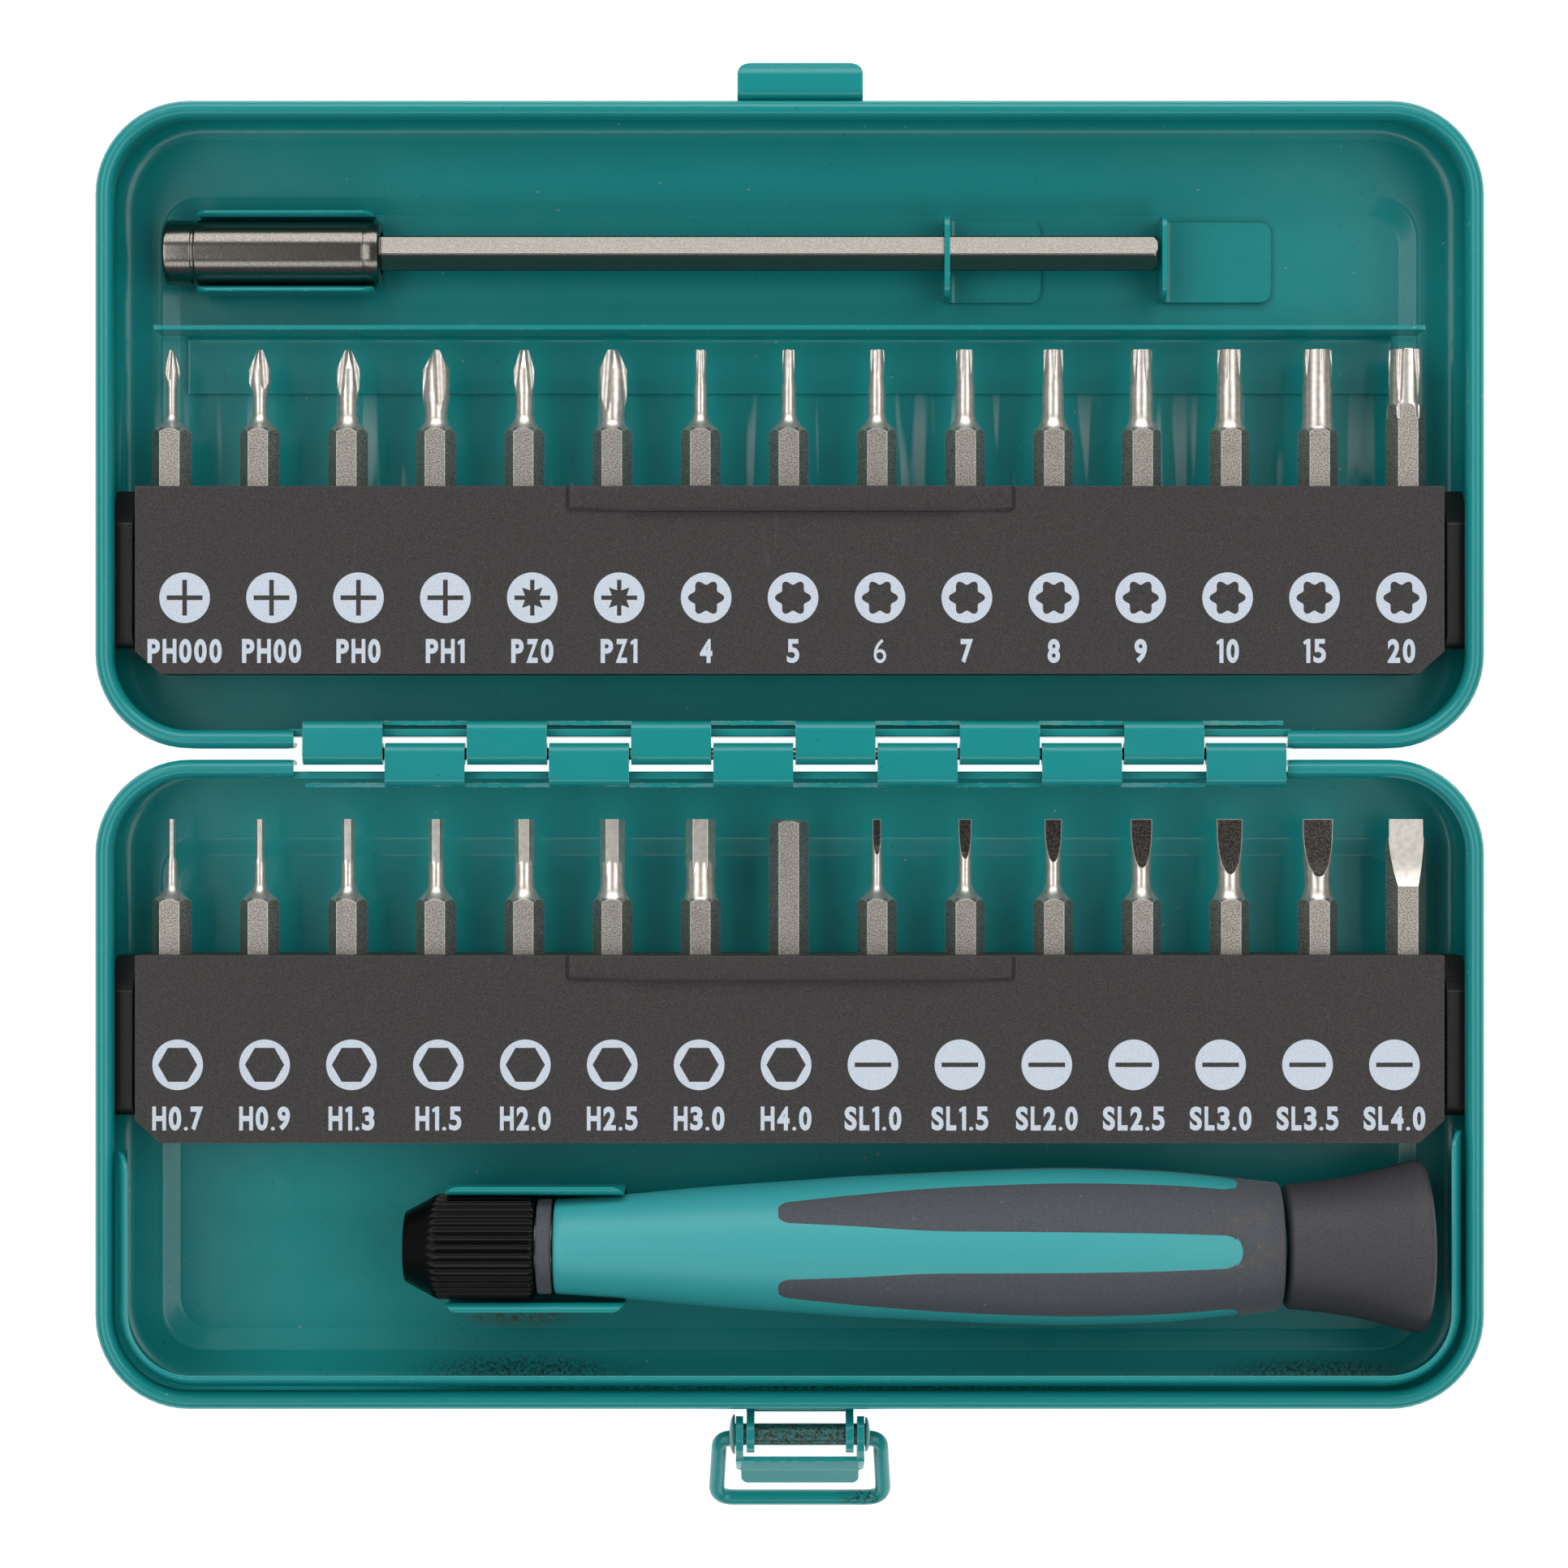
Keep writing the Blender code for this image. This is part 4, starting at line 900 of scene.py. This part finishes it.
def cross_cut(arm, half, diagonal=0.0):
    """The outline of a cross, with short arms between its own if diagonal is given."""
    points = []
    for k in range(4):
        spoke = [(arm, -half), (arm, half)]
        if diagonal:
            near = 0.72 * diagonal
            spoke += [(near, half), (diagonal, diagonal), (half, near)]
        else:
            spoke += [(half, half)]
        points += [turn(p, math.pi / 2 * k) for p in spoke]
    return points


def star_cut(radius):
    points = []
    for i in range(60):
        a = 2 * math.pi * i / 60
        points.append(turn((radius * (1 + 0.17 * math.cos(6 * a)) / 1.17, 0), a))
    return points


def symbol(kind):
    """The outlines cut out of a label's disc."""
    if kind == "ph":
        return [cross_cut(2.05, 0.27)]
    if kind == "pz":
        return [cross_cut(2.05, 0.25, 1.18)]
    if kind == "star":
        return [star_cut(2.08)]
    if kind == "hex":
        return [[turn((2.25, 0), math.pi / 3 * k) for k in range(6)]]
    return [[(-2.1, -0.26), (2.1, -0.26), (2.1, 0.26), (-2.1, 0.26)]]


def labels(name, row, x0, disc_y, text_y, body):
    """A disc with the tip's shape and its size in figures, printed below each bit."""
    parts = bmesh.new()
    disc = [turn((DISC_R, 0), 2 * math.pi * i / 72) for i in range(72)]
    for i, (kind, words) in enumerate(row):
        x = x0 + LABEL_PITCH * i
        printed([disc] + symbol(kind), x, disc_y, parts)
        widths = [WIDTHS.get(letter, 1.42) for letter in words]
        at = x - (sum(widths) + GAP * (len(words) - 1)) / 2
        for letter, width in zip(words, widths):
            if letter == "1":
                printed([ONE], at, text_y - TEXT_HEIGHT / 2, parts)
            else:
                add_letter(letter, width, at, text_y - TEXT_HEIGHT / 2, parts)
            at += width + GAP
    obj = new_object(name, parts)
    finished(obj, body, "ink")


PH, PZ, STAR, HEX, SLOT = "ph", "pz", "star", "hex", "slot"
UPPER_LABELS = (
    (PH, "PH000"), (PH, "PH00"), (PH, "PH0"), (PH, "PH1"), (PZ, "PZ0"), (PZ, "PZ1"), (STAR, "4"),
    (STAR, "5"), (STAR, "6"), (STAR, "7"), (STAR, "8"), (STAR, "9"), (STAR, "10"), (STAR, "15"),
    (STAR, "20"),
)
HEX_SIZES = 0.7, 0.9, 1.3, 1.5, 2.0, 2.5, 3.0, 4.0
SLOT_SIZES = 1.0, 1.5, 2.0, 2.5, 3.0, 3.5, 4.0
LOWER_LABELS = [(HEX, f"H{s:.1f}") for s in HEX_SIZES] + [(SLOT, f"SL{s:.1f}") for s in SLOT_SIZES]


# ---------------------------------------------------------------- bits


def rod_cutters(count, radius, near, far, length, spin):
    """Rods round a bit's axis that run out of it, at these near and far distances from it."""
    rods = []
    for k in range(count):
        a = spin + 2 * math.pi * k / count
        rows = []
        for y in (1.0, -length - 1.0):
            d = near + (far - near) * (-y) / length + radius
            rows.append([
                (d * math.cos(a) + radius * math.cos(t), y, d * math.sin(a) + radius * math.sin(t))
                for t in spread(0, 2 * math.pi * 23 / 24, 23)
            ])
        rods.append(rows)
    return rods


def hex_rod(bm, flats, low, high, rounding):
    corners = [turn((flats / 2 / math.cos(math.pi / 6), 0), math.pi * k / 3) for k in range(6)]
    outline = filleted(corners, rounding, 4, closed=True)
    add_surface(bm, [[(u, y, v) for u, v in outline] for y in (low, high)], closed=True, caps=True)


def blade_end(size):
    """How far behind the tip the four wings of a cross point run at full width."""
    return max(2.25 * size - 1.8, 2.8)


BLADE_NECK = ((1.0, 1.2), (1.5, 1.48), (2.0, 1.7), (2.5, 2.15), (3.0, 2.7), (3.5, 2.95))


def bit_profile(kind, size):
    """(place behind the tip, radius) of the round blank that a bit's tip is cut from."""
    if size > 3.5 and kind == HEX:
        tip = [(0.0, 1.75), (0.5, 2.34)]
    elif size > 3.5:
        tip = [(0.0, size / 2 - 0.05), (0.1, size / 2), (6.2, size / 2), (7.2, 2.34)]
        if kind == SLOT:
            tip = [(0.0, 1.98), (2.0, 2.0), (3.0, 2.34)]
    else:
        neck = {PH: (0.31 if size < 2.6 else 0.40) * size, PZ: 0.41 * size, STAR: (size + 0.2) / 2,
                HEX: max(size + 0.3, 1.3) / 2, SLOT: curve_at(BLADE_NECK, size) / 2}[kind]
        if kind in (PH, PZ):
            point = size * (0.12 if kind == PH else 0.18)
            hold = blade_end(size)
            tip = [(0.0, point), (0.1, point + 0.08), (2.2, size / 2 - 0.04), (2.45, size / 2),
                   (hold, size / 2 - 0.02), (hold + 0.9, 0.2 * size + 0.6 * neck), (hold + 1.8,
                                                                                    neck)]
        elif kind == STAR:
            tip = [(0.0, size / 2 - 0.08), (0.1, size / 2), (3.6, size / 2), (4.4, neck)]
        elif kind == HEX:
            tip = [(4.0, 0.5 * size - 0.05), (5.2, neck)]
        else:
            taper = ((0, 1), (0.15, 1), (0.27, 0.94), (0.38, 0.84), (0.6, 0.53), (0.82, 0.18),
                     (0.92, 0.05))
            tip = [((3 + 1.3 * size) * t, neck + (size / 2 - neck) * share) for t, share in taper]
        start = max(7.0, tip[-1][0] + 0.3)
        tip.append((start, neck))
        for t in spread(0.12, 1, 8):
            tip.append((start + (SHOULDER - start) * t, neck + (1.88 - neck) * t**2.3))
        tip.append((SHOULDER + 0.55, 2.34))
    return tip + [(BIT_LENGTH - 0.5, 2.34), (BIT_LENGTH, 1.9)]


def make_bit(node, kind, size, x, tip_y, body, spin):
    profile = [(-b, r) for b, r in bit_profile(kind, size)]
    bit = new_object(f"{node}_bit", shape(add_lathe, profile, (0, 0), "Y", 40))
    joined(bit, "INTERSECT", shape(hex_rod, BIT_AF, 1, -BIT_LENGTH - 1, 0.05))
    if kind == HEX and size < 3.5:
        joined(bit, "UNION", shape(hex_rod, size, 0, -5.6, 0.04 * size))
    rods = []
    if kind in (PH, PZ):
        core = size * (0.08 if kind == PH else 0.14)
        rods = rod_cutters(4, 0.24 * size, core, 0.43 * size, blade_end(size) + 1.2, spin)
    elif kind == STAR:
        reach = 4.4 if size < 3.5 else 7.0
        rods = rod_cutters(6, 0.13 * size, 0.35 * size, size / 2 + 0.1, reach, spin)
    for rows in rods:
        joined(bit, "DIFFERENCE", shape(add_surface, rows, closed=True, caps=True))
    half = (0.16 + 0.13 * size) / 2
    if kind == SLOT:
        wheel = [turn((HOLLOW_R, 0), 2 * math.pi * i / 128) for i in range(128)]
        for sign in (-1, 1):
            outline = [(u, sign * (half + HOLLOW_R) + v) for u, v in wheel]
            joined(bit, "DIFFERENCE", shape(add_prism, outline, "X", -4, 4))
    bit.data.transform(Matrix.Translation(Vector((x, tip_y, BIT_Z)) * MM))
    bevel(bit, 0.03, 2, 35)
    finished(bit, body, "steel", node, sharp=35, flat_weight=True)
    for extra in ("bright", "ground"):
        bit.data.materials.append(MATERIALS[extra])
    ground = 0.0  # how far a flat blade's hollows reach back from its tip
    if kind == SLOT:
        ground = math.sqrt(2 * HOLLOW_R * (curve_at(BLADE_NECK, size) / 2 - half))
    for face in bit.data.polygons:
        behind = tip_y - (face.center.y - SHIFT) / MM
        if behind < SHOULDER + 0.15:
            flat = size < 3.6 and abs(face.normal.x) < 0.1 and abs(face.normal.z) > 0.8
            face.material_index = 2 if flat and behind < ground else 1


def make_bits():
    upper = [("bit_ph000", PH, 1.8), ("bit_ph00", PH, 2.5), ("bit_ph0", PH, 2.7),
             ("bit_ph1", PH, 3.2), ("bit_pz0", PZ, 2.45), ("bit_pz1", PZ, 3.3)]
    star_widths = {4: 1.28, 5: 1.42, 6: 1.7, 7: 1.99, 8: 2.31, 9: 2.5, 10: 2.74, 15: 3.27, 20: 3.86}
    upper += [(f"bit_star_{n}", STAR, width) for n, width in star_widths.items()]
    lower = [(f"bit_hex_{s:.1f}", HEX, s) for s in HEX_SIZES]
    lower += [(f"bit_slot_{s:.1f}", SLOT, s) for s in SLOT_SIZES]
    racks = (upper, UPPER_TIP, "upper_holder"), (lower, LOWER_TIP, "lower_holder")
    for row, tip_y, body in racks:
        for i, (node, kind, size) in enumerate(row):
            spin = math.radians((37 * i) % 60 + 20)
            make_bit(node, kind, size, BIT_X0 + BIT_PITCH * i, tip_y, body, spin)


# ---------------------------------------------------------------- handle


def hex_socket(obj, y, z, near, far):
    """Cuts the hexagonal socket that a bit's shank fits, from one place along x to another."""
    corners = [turn((SOCKET_AF / math.sqrt(3), 0), math.pi * k / 3) for k in range(6)]
    rows = [[(x, y + u, z + v) for u, v in corners] for x in (near, far)]
    joined(obj, "DIFFERENCE", shape(add_surface, rows, closed=True, caps=True))


def polar(radius, degrees):
    """A point of a handle section. Angle 0 is up, but for the handle's small roll in its clip."""
    a = math.radians(degrees + ROLL)
    return (HANDLE_Y + radius * math.sin(a), HANDLE_Z + radius * math.cos(a))


def handle_grip():
    profile = [(-27.0, 5.0), (-26.9, 5.3)]
    profile += [(x, curve_at(GRIP, x)) for x in spread(-26.7, 54.5, 90)]
    profile += [(54.8, 6.7), (56.0, 6.6), (56.2, 6.4), (56.2, 2.5), (66.2, 2.5)]
    bm = bmesh.new()
    add_lathe(bm, profile, (HANDLE_Y, HANDLE_Z), sides=128)
    finished(new_object("hard_grip", bm), "handle", "teal", "handle_grip")


def stripe_half(x):
    """Half the angle that one soft stripe covers at a place along the handle."""
    half = curve_at(STRIPE, x)
    nose = min((x - STRIPE_START) / 1.5, 1.0)
    half *= math.sqrt(max(1 - (1 - nose) ** 2, 0.0))
    run = (x - (STRIPE_END - GAP_R)) / GAP_R  # 0 to 1 over the rounded end of the hard plastic
    if run > 0:
        half = 36.3 - (36 - half) * math.sqrt(max(1 - min(run, 1) ** 2, 0.0))
    return half


def handle_inlay():
    """Five soft stripes that run into one collar, a hair proud of the hard plastic."""
    proud, dip, thick = 0.045, 0.22, 0.7
    bm = bmesh.new()
    stations = [STRIPE_START + 1.5 * (1 - math.cos(a)) for a in spread(0.25, math.pi / 2, 8)]
    stations += spread(0.4, 48.8, 60)[1:]
    stations += [STRIPE_END - GAP_R * (1 - math.sin(a)) for a in spread(0, math.pi / 2, 12)]
    stations += [51.8, 52.6]
    outer = [0.88, 0.95, 0.985, 1]
    places = [-t for t in reversed(outer)] + [0.76 * t for t in spread(-1, 1, 8)] + outer
    drops = {1: dip, 0.985: 0.5 * dip, 0.95: 0.18 * dip, 0.88: 0.05 * dip}
    for k in range(5):
        rows = []
        for i, x in enumerate(stations):
            end_drop = {0: dip, 1: 0.4 * dip, 2: 0.1 * dip}.get(i, 0.0)
            r, half = curve_at(GRIP, x) + proud, stripe_half(x)
            if x > STRIPE_END - 0.4:
                r -= 0.3  # under the collar
            row = []
            for t in places:
                drop = max(drops.get(round(abs(t), 3), 0.0), end_drop)
                row.append((x, *polar(r - drop, 72 * k + 36 + half * t)))
            row += [(x, *polar(r - thick, 72 * k + 36 + half * t)) for t in (0.9, 0.3, -0.3, -0.9)]
            rows.append(row)
        add_surface(bm, rows, closed=True, caps=True)
    # the collar, its front edge scalloped round the ends of the hard plastic
    rows = []
    sides = 240
    for depth, lift in ((0.0, -dip), (0.06, -0.4 * dip), (0.2, 0.0), (1.0, 0.0), (2.6, 0.0),
                        (4.0, 0.0)):
        row = []
        for i in range(sides):
            angle = 360 * i / sides
            off = abs((angle + 36) % 72 - 36)  # from the middle of the nearest hard stripe
            edge = 49.0
            if off < 14.7:
                edge = STRIPE_END - GAP_R * (1 - math.sqrt(max(1 - (off / 14.7) ** 2, 0.0)))
            edge = max(edge, 49.0)
            x = edge + (55.9 - edge) * depth / 4.0
            row.append((x, *polar(curve_at(GRIP, x) + proud + lift, angle)))
        rows.append(row)
    for x, r in ((56.1, 7.2), (56.2, 7.0), (56.2, 6.5), (55.0, 6.5), (49.0, 6.2)):
        rows.append([(x, *polar(r, 360 * i / sides)) for i in range(sides)])
    add_surface(bm, rows, closed=True, caps=True)
    finished(new_object("soft_inlay", bm), "handle", "grey", "handle_inlay", sharp=70)


def handle_front():
    bm = bmesh.new()
    ring = filleted([(-27.3, 3.8), (-27.3, 5.42), (-28.95, 5.42), (-28.95, 3.8)], 0.25, 4)
    add_lathe(bm, ring, (HANDLE_Y, HANDLE_Z), sides=96, ring=True)
    finished(new_object("front_ring", bm), "handle", "grey", "handle_front_ring")
    bm = bmesh.new()
    add_lathe(bm, [(-27.2, 3.6), (-42.0, 3.6), (-42.3, 2.75), (-43.75, 2.75), (-43.9, 2.6)],
              (HANDLE_Y, HANDLE_Z))
    collet = new_object("collet_sleeve", bm)
    hex_socket(collet, HANDLE_Y, HANDLE_Z, -45, -30)
    bevel(collet, 0.05)
    finished(collet, "handle", "steel", "collet")


def chuck_nut():
    """The fluted nut: round-bottomed flutes that run out on the cones at both ends."""
    flutes, points = 40, 10
    envelope = [(-44.2, 3.85), (-44.1, 4.03), (-43.9, 4.15)]
    envelope += [(x, 4.15 + 1.92 * (x + 43.9) / 3.6) for x in spread(-43.5, -39.9, 9)]
    envelope += [(-39.6, 6.3), (-34.0, 6.3), (-29.9, 6.3)]
    envelope += [(-29.7, 6.02), (-29.5, 5.86), (-29.3, 5.72), (-29.2, 5.55)]
    rows = []
    for x, limit in envelope:
        row = []
        for i in range(flutes * points):
            phase = (i % points) / points
            r = 6.02 - 0.34 * math.sin(math.pi * phase) ** 0.8
            row.append((x, *polar(min(r, limit), 360 * i / (flutes * points))))
        rows.append(row)
    nut = new_object("knurled_nut", shape(add_surface, rows, closed=True, caps=True))
    bore = [(-28, 3.8), (-42.6, 3.8), (-42.6, 2.9), (-46, 2.9)]
    joined(nut, "DIFFERENCE", shape(add_lathe, bore, (HANDLE_Y, HANDLE_Z)))
    finished(nut, "chuck", "black", "chuck_nut", sharp=38)


def swivel_cap():
    profile = [(66.8, 0.02), (66.8, 2.7), (56.85, 2.7)]
    profile += [(x, curve_at(CAP, x)) for x in spread(56.85, 72.5, 60)]
    profile += filleted([(72.5, 9.73)] + list(CAP_END), 0.3, 3)[1:]
    bm = bmesh.new()
    add_lathe(bm, profile, (HANDLE_Y, HANDLE_Z), sides=128)
    finished(new_object("cap_body", bm), "cap", "cap", "swivel_cap")


# ---------------------------------------------------------------- extension and latch


def extension():
    profile = [(42.8, 1.85), (42.7, 2.05), (42.1, 2.31), (41.9, 2.34), (-57.7, 2.34)]
    shank = new_object("extension_bar", shape(add_lathe, profile, (EXT_Y, EXT_Z), sides=64))
    spin = math.pi / 6 + math.radians(10)
    corners = [turn((4.0 / 2 / math.cos(math.pi / 6), 0), math.pi * k / 3 + spin) for k in range(6)]
    outline = filleted([(EXT_Y + u, EXT_Z + v) for u, v in corners], 0.22, 4, closed=True)
    joined(shank, "INTERSECT", shape(add_prism, outline, "X", -60, 45))
    bevel(shank, 0.04)
    finished(shank, "extension", "bar", "extension_shank", sharp=35, flat_weight=True)
    profile = [
        (-58.0, 0.1), (-58.0, 2.5), (-47.5, 2.5), (-47.5, 3.4), (-47.58, 3.6), (-47.75, 3.78),
        (-48.1, 3.83), (-49.3, 3.83), (-49.45, 3.76), (-49.6, 3.83), (-68.9, 3.83), (-69.05, 3.7),
        (-69.3, 3.7), (-69.45, 3.83), (-72.1, 3.83), (-72.4, 3.75), (-72.6, 3.5), (-72.6, 2.9),
    ]
    sleeve = new_object("extension_socket", shape(add_lathe, profile, (EXT_Y, EXT_Z), sides=96))
    hex_socket(sleeve, EXT_Y, EXT_Z, -74, -60.5)
    bevel(sleeve, 0.05)
    finished(sleeve, "extension", "bar", "extension_sleeve", sharp=35, flat_weight=True)


def latch_bracket():
    wall, reach = -(BASE_DEPTH + 0.1), 2.1
    outline = [(wall - 0.3, 9.6), (wall - 0.3, 7.0)]
    outline += [(RIVET_Y + u, RIVET_Z + v) for u, v in arc((0, 0), reach, -60, -320, 26)]
    sheet = shape(add_box, (LATCH_X - 6.2, wall - 0.85, 7.0), (LATCH_X + 6.2, wall, 9.0))
    bracket = new_object("latch_bracket_sheet", sheet)
    ears = bmesh.new()
    for x in (LATCH_X - 6.15, LATCH_X + 5.25):
        add_prism(ears, outline, "X", x, x + 0.9)
    joined(bracket, "UNION", ears)
    bore = [(LATCH_X - 8, 1.32), (LATCH_X + 8, 1.32)]
    joined(bracket, "DIFFERENCE", shape(add_lathe, bore, (RIVET_Y, RIVET_Z), sides=40))
    bevel(bracket, 0.14, 3)
    finished(bracket, "case_base", "latch_paint", "latch_bracket", flat_weight=True)


def latch_rivet():
    dome = [(-8.15 + 0.62 * (1 - math.cos(a)), 2.3 * math.sin(a))
            for a in spread(0.05, math.pi / 2, 9)]
    tail = [(8.05 - 0.5 * (1 - math.cos(a)), 2.0 * math.sin(a))
            for a in spread(math.pi / 2, 0.05, 8)]
    profile = dome + [(-7.5, 2.2), (-7.48, 1.24), (7.5, 1.24), (7.52, 1.9)] + tail
    bm = bmesh.new()
    add_lathe(bm, [(LATCH_X + x, r) for x, r in profile], (RIVET_Y, RIVET_Z), sides=48)
    finished(new_object("rivet", bm), "case_base", "rivet_paint", "latch_rivet")


def lever_point(u, v):
    """A point given beside the rivet with the lever locked, carried to where it rests."""
    u, v = turn((u, v), -LEVER_REST)
    return (RIVET_Y + u, RIVET_Z + v)


def latch_lever():
    half, ear = 7.4, 0.85
    path = filleted([(-2.75, -0.7), (-2.85, -6.6), (-4.2, -9.0)], 1.2, 6)
    bm = bmesh.new()
    rows = []
    for u, v in even(path, 0.3):
        inset = 0.0 if v > -6.3 else min(0.55, 0.9 * (-6.3 - v))
        if v < -8.2:
            inset = 0.55 + 0.9 * (-8.2 - v) ** 2
        y, z = lever_point(u, v)
        rows.append([(LATCH_X + x, y, z) for x in across(-half + inset, half - inset, 5)])
    add_surface(bm, rows)
    lever = new_object("lever_plate", bm)
    solidify(lever, 0.6)
    baked(lever)
    outline = filleted([(-2.9, -0.9), (-2.0, 0.9), (-0.9, 1.95), (0.9, 1.95), (2.0, 0.8),
                        (2.05, -0.9),
                        (1.95, -3.6), (1.0, -5.2), (-1.2, -6.0), (-2.9, -6.5)], 0.9, 4, closed=True)
    ears = bmesh.new()
    for x in (-half + 0.02, half - ear):
        add_prism(ears, [lever_point(*p) for p in outline], "X", LATCH_X + x,
                  LATCH_X + x + ear - 0.02)
    joined(lever, "UNION", ears)
    for drop, radius in ((0.0, 1.32), (-BAIL_DROP, 1.02)):
        for a, b in ((-half - 1, -half + ear + 1), (half - ear - 1, half + 1)):
            bore = [(LATCH_X + a, radius), (LATCH_X + b, radius)]
            joined(lever, "DIFFERENCE", shape(add_lathe, bore, lever_point(0, drop), sides=32))
    bevel(lever, 0.16, 3)
    finished(lever, "latch", "latch_paint", "latch_lever")


def latch_bail():
    """The wire loop, resting with its bar on the table."""
    y, z = lever_point(0, -BAIL_DROP)
    drop = z - WIRE_R - CLEAR
    slope = Vector((0, -math.sqrt(BAIL_LENGTH**2 - drop**2), -drop)) / BAIL_LENGTH
    end = BAIL_LENGTH - 3 * CLEAR
    half = filleted([(6.5, 0.0), (9.3, 0.0), (9.85, end), (0.0, end)], 2.0, 9)
    line = even(half + [(-u, s) for u, s in reversed(half[:-1])], 0.35)
    path = [Vector((LATCH_X + u, y, z)) + slope * s for u, s in line]
    rows = []
    for i, point in enumerate(path):
        along = (path[min(i + 1, len(path) - 1)] - path[max(i - 1, 0)]).normalized()
        side = along.cross(Vector((1, 0, 0)).cross(slope)).normalized()
        up = side.cross(along)
        radius = WIRE_R if 0 < i < len(path) - 1 else WIRE_R - 0.08
        rows.append([tuple(point + (side * math.cos(a) + up * math.sin(a)) * radius)
                     for a in spread(0, 2 * math.pi * 27 / 28, 27)])
    mesh = shape(add_surface, rows, closed=True, caps=True)
    finished(new_object("bail_wire", mesh), "bail", "latch_paint", "latch_bail")


# ---------------------------------------------------------------- stage


def area_light(name, place, size, power, target=(0.0, 0.0, 0.01), colour=(1.0, 1.0, 1.0)):
    data = bpy.data.lights.new(name, "AREA")
    data.shape, data.size, data.size_y = "RECTANGLE", size[0], size[1]
    data.energy, data.color = power, colour
    light = bpy.data.objects.new(name, data)
    bpy.context.scene.collection.objects.link(light)
    light.location = place
    light.rotation_euler = (Vector(target) - Vector(place)).to_track_quat("-Z", "Y").to_euler()
    light.visible_camera = False


def stage():
    """A pale floor under soft light, with the camera straight above."""
    bm = bmesh.new()
    bmesh.ops.create_grid(bm, x_segments=1, y_segments=1, size=3.0)
    mesh = bpy.data.meshes.new("floor")
    bm.to_mesh(mesh)
    bm.free()
    floor = bpy.data.objects.new("floor", mesh)
    bpy.context.scene.collection.objects.link(floor)
    floor.location.z = CAD_BOX[0][2] - 0.0002
    mesh.materials.append(new_material("pale_floor", lambda tree: {
        "Base Color": (0.65, 0.65, 0.65), "Roughness": 0.9, "Emission Color": (1.0, 1.0, 1.0),
        "Emission Strength": 0.9}))

    world = bpy.data.worlds.new("studio")
    bpy.context.scene.world = world
    world.use_nodes = True
    world.node_tree.nodes["Background"].inputs[0].default_value = (1, 1, 1, 1)
    world.node_tree.nodes["Background"].inputs[1].default_value = 0.125
    area_light("panel_back", (0.0, 0.80, 0.60), (1.3, 0.6), 6.0)
    area_light("panel_front", (0.0, -0.67, 0.74), (1.3, 0.28), 2.1)
    for sign in (-1, 1):
        area_light("panel_side", (sign * 0.51, 0.0, 0.87), (0.9, 0.56), 3.1)

    data = bpy.data.cameras.new("camera")
    data.lens, data.sensor_width = 90.5, 36.0
    camera = bpy.data.objects.new("camera", data)
    bpy.context.scene.collection.objects.link(camera)
    camera.location = (-0.00065, 0.0010, 0.4645)
    bpy.context.scene.camera = camera
    bpy.context.scene.view_settings.view_transform = "Standard"


# ---------------------------------------------------------------- the set


case_shell("base_shell", -1, BASE_DEPTH, BASE_PANEL, "case_base", "base_paint")
case_shell("lid_shell", 1, LID_DEPTH, LID_PANEL, "case_lid", "lid_paint")
hinge_leaf("base_hinge_leaf", -1, 1, "case_base")
hinge_leaf("lid_hinge_leaf", 1, 0, "case_lid")
hinge_pin()
dust_lip()
tool_clip("handle_clip", -39.4, -18.9, HANDLE_Y, HANDLE_Z, 6.0, 7.4, "case_base")
tool_clip("extension_clip", -68.9, -48.3, EXT_Y, EXT_Z, 3.83, 4.95, "case_lid")
extension_bracket("extension_guide", 17.9, 29.5, 53.1, 62.7, 2.78)
extension_bracket("extension_stop", 43.1, 56.6, 53.1, 62.6, 0)
bit_divider()
latch_catch()
for x_side, label in ((-1, "left"), (1, "right")):
    holder_bracket(f"lower_bracket_{label}", x_side, LOWER_PIVOT, "case_base")
    holder_bracket(f"upper_bracket_{label}", x_side, UPPER_PIVOT, "case_lid")
bit_holder("upper_bit_holder", UPPER_PIVOT, "upper_holder")
bit_holder("lower_bit_holder", LOWER_PIVOT, "lower_holder")
labels("upper_labels", UPPER_LABELS, -69.3, 17.9, 11.8, "upper_holder")
labels("lower_labels", LOWER_LABELS, -70.1, -35.6, -41.75, "lower_holder")
make_bits()
handle_grip()
handle_inlay()
handle_front()
chuck_nut()
swivel_cap()
extension()
latch_bracket()
latch_rivet()
latch_lever()
latch_bail()
stage()
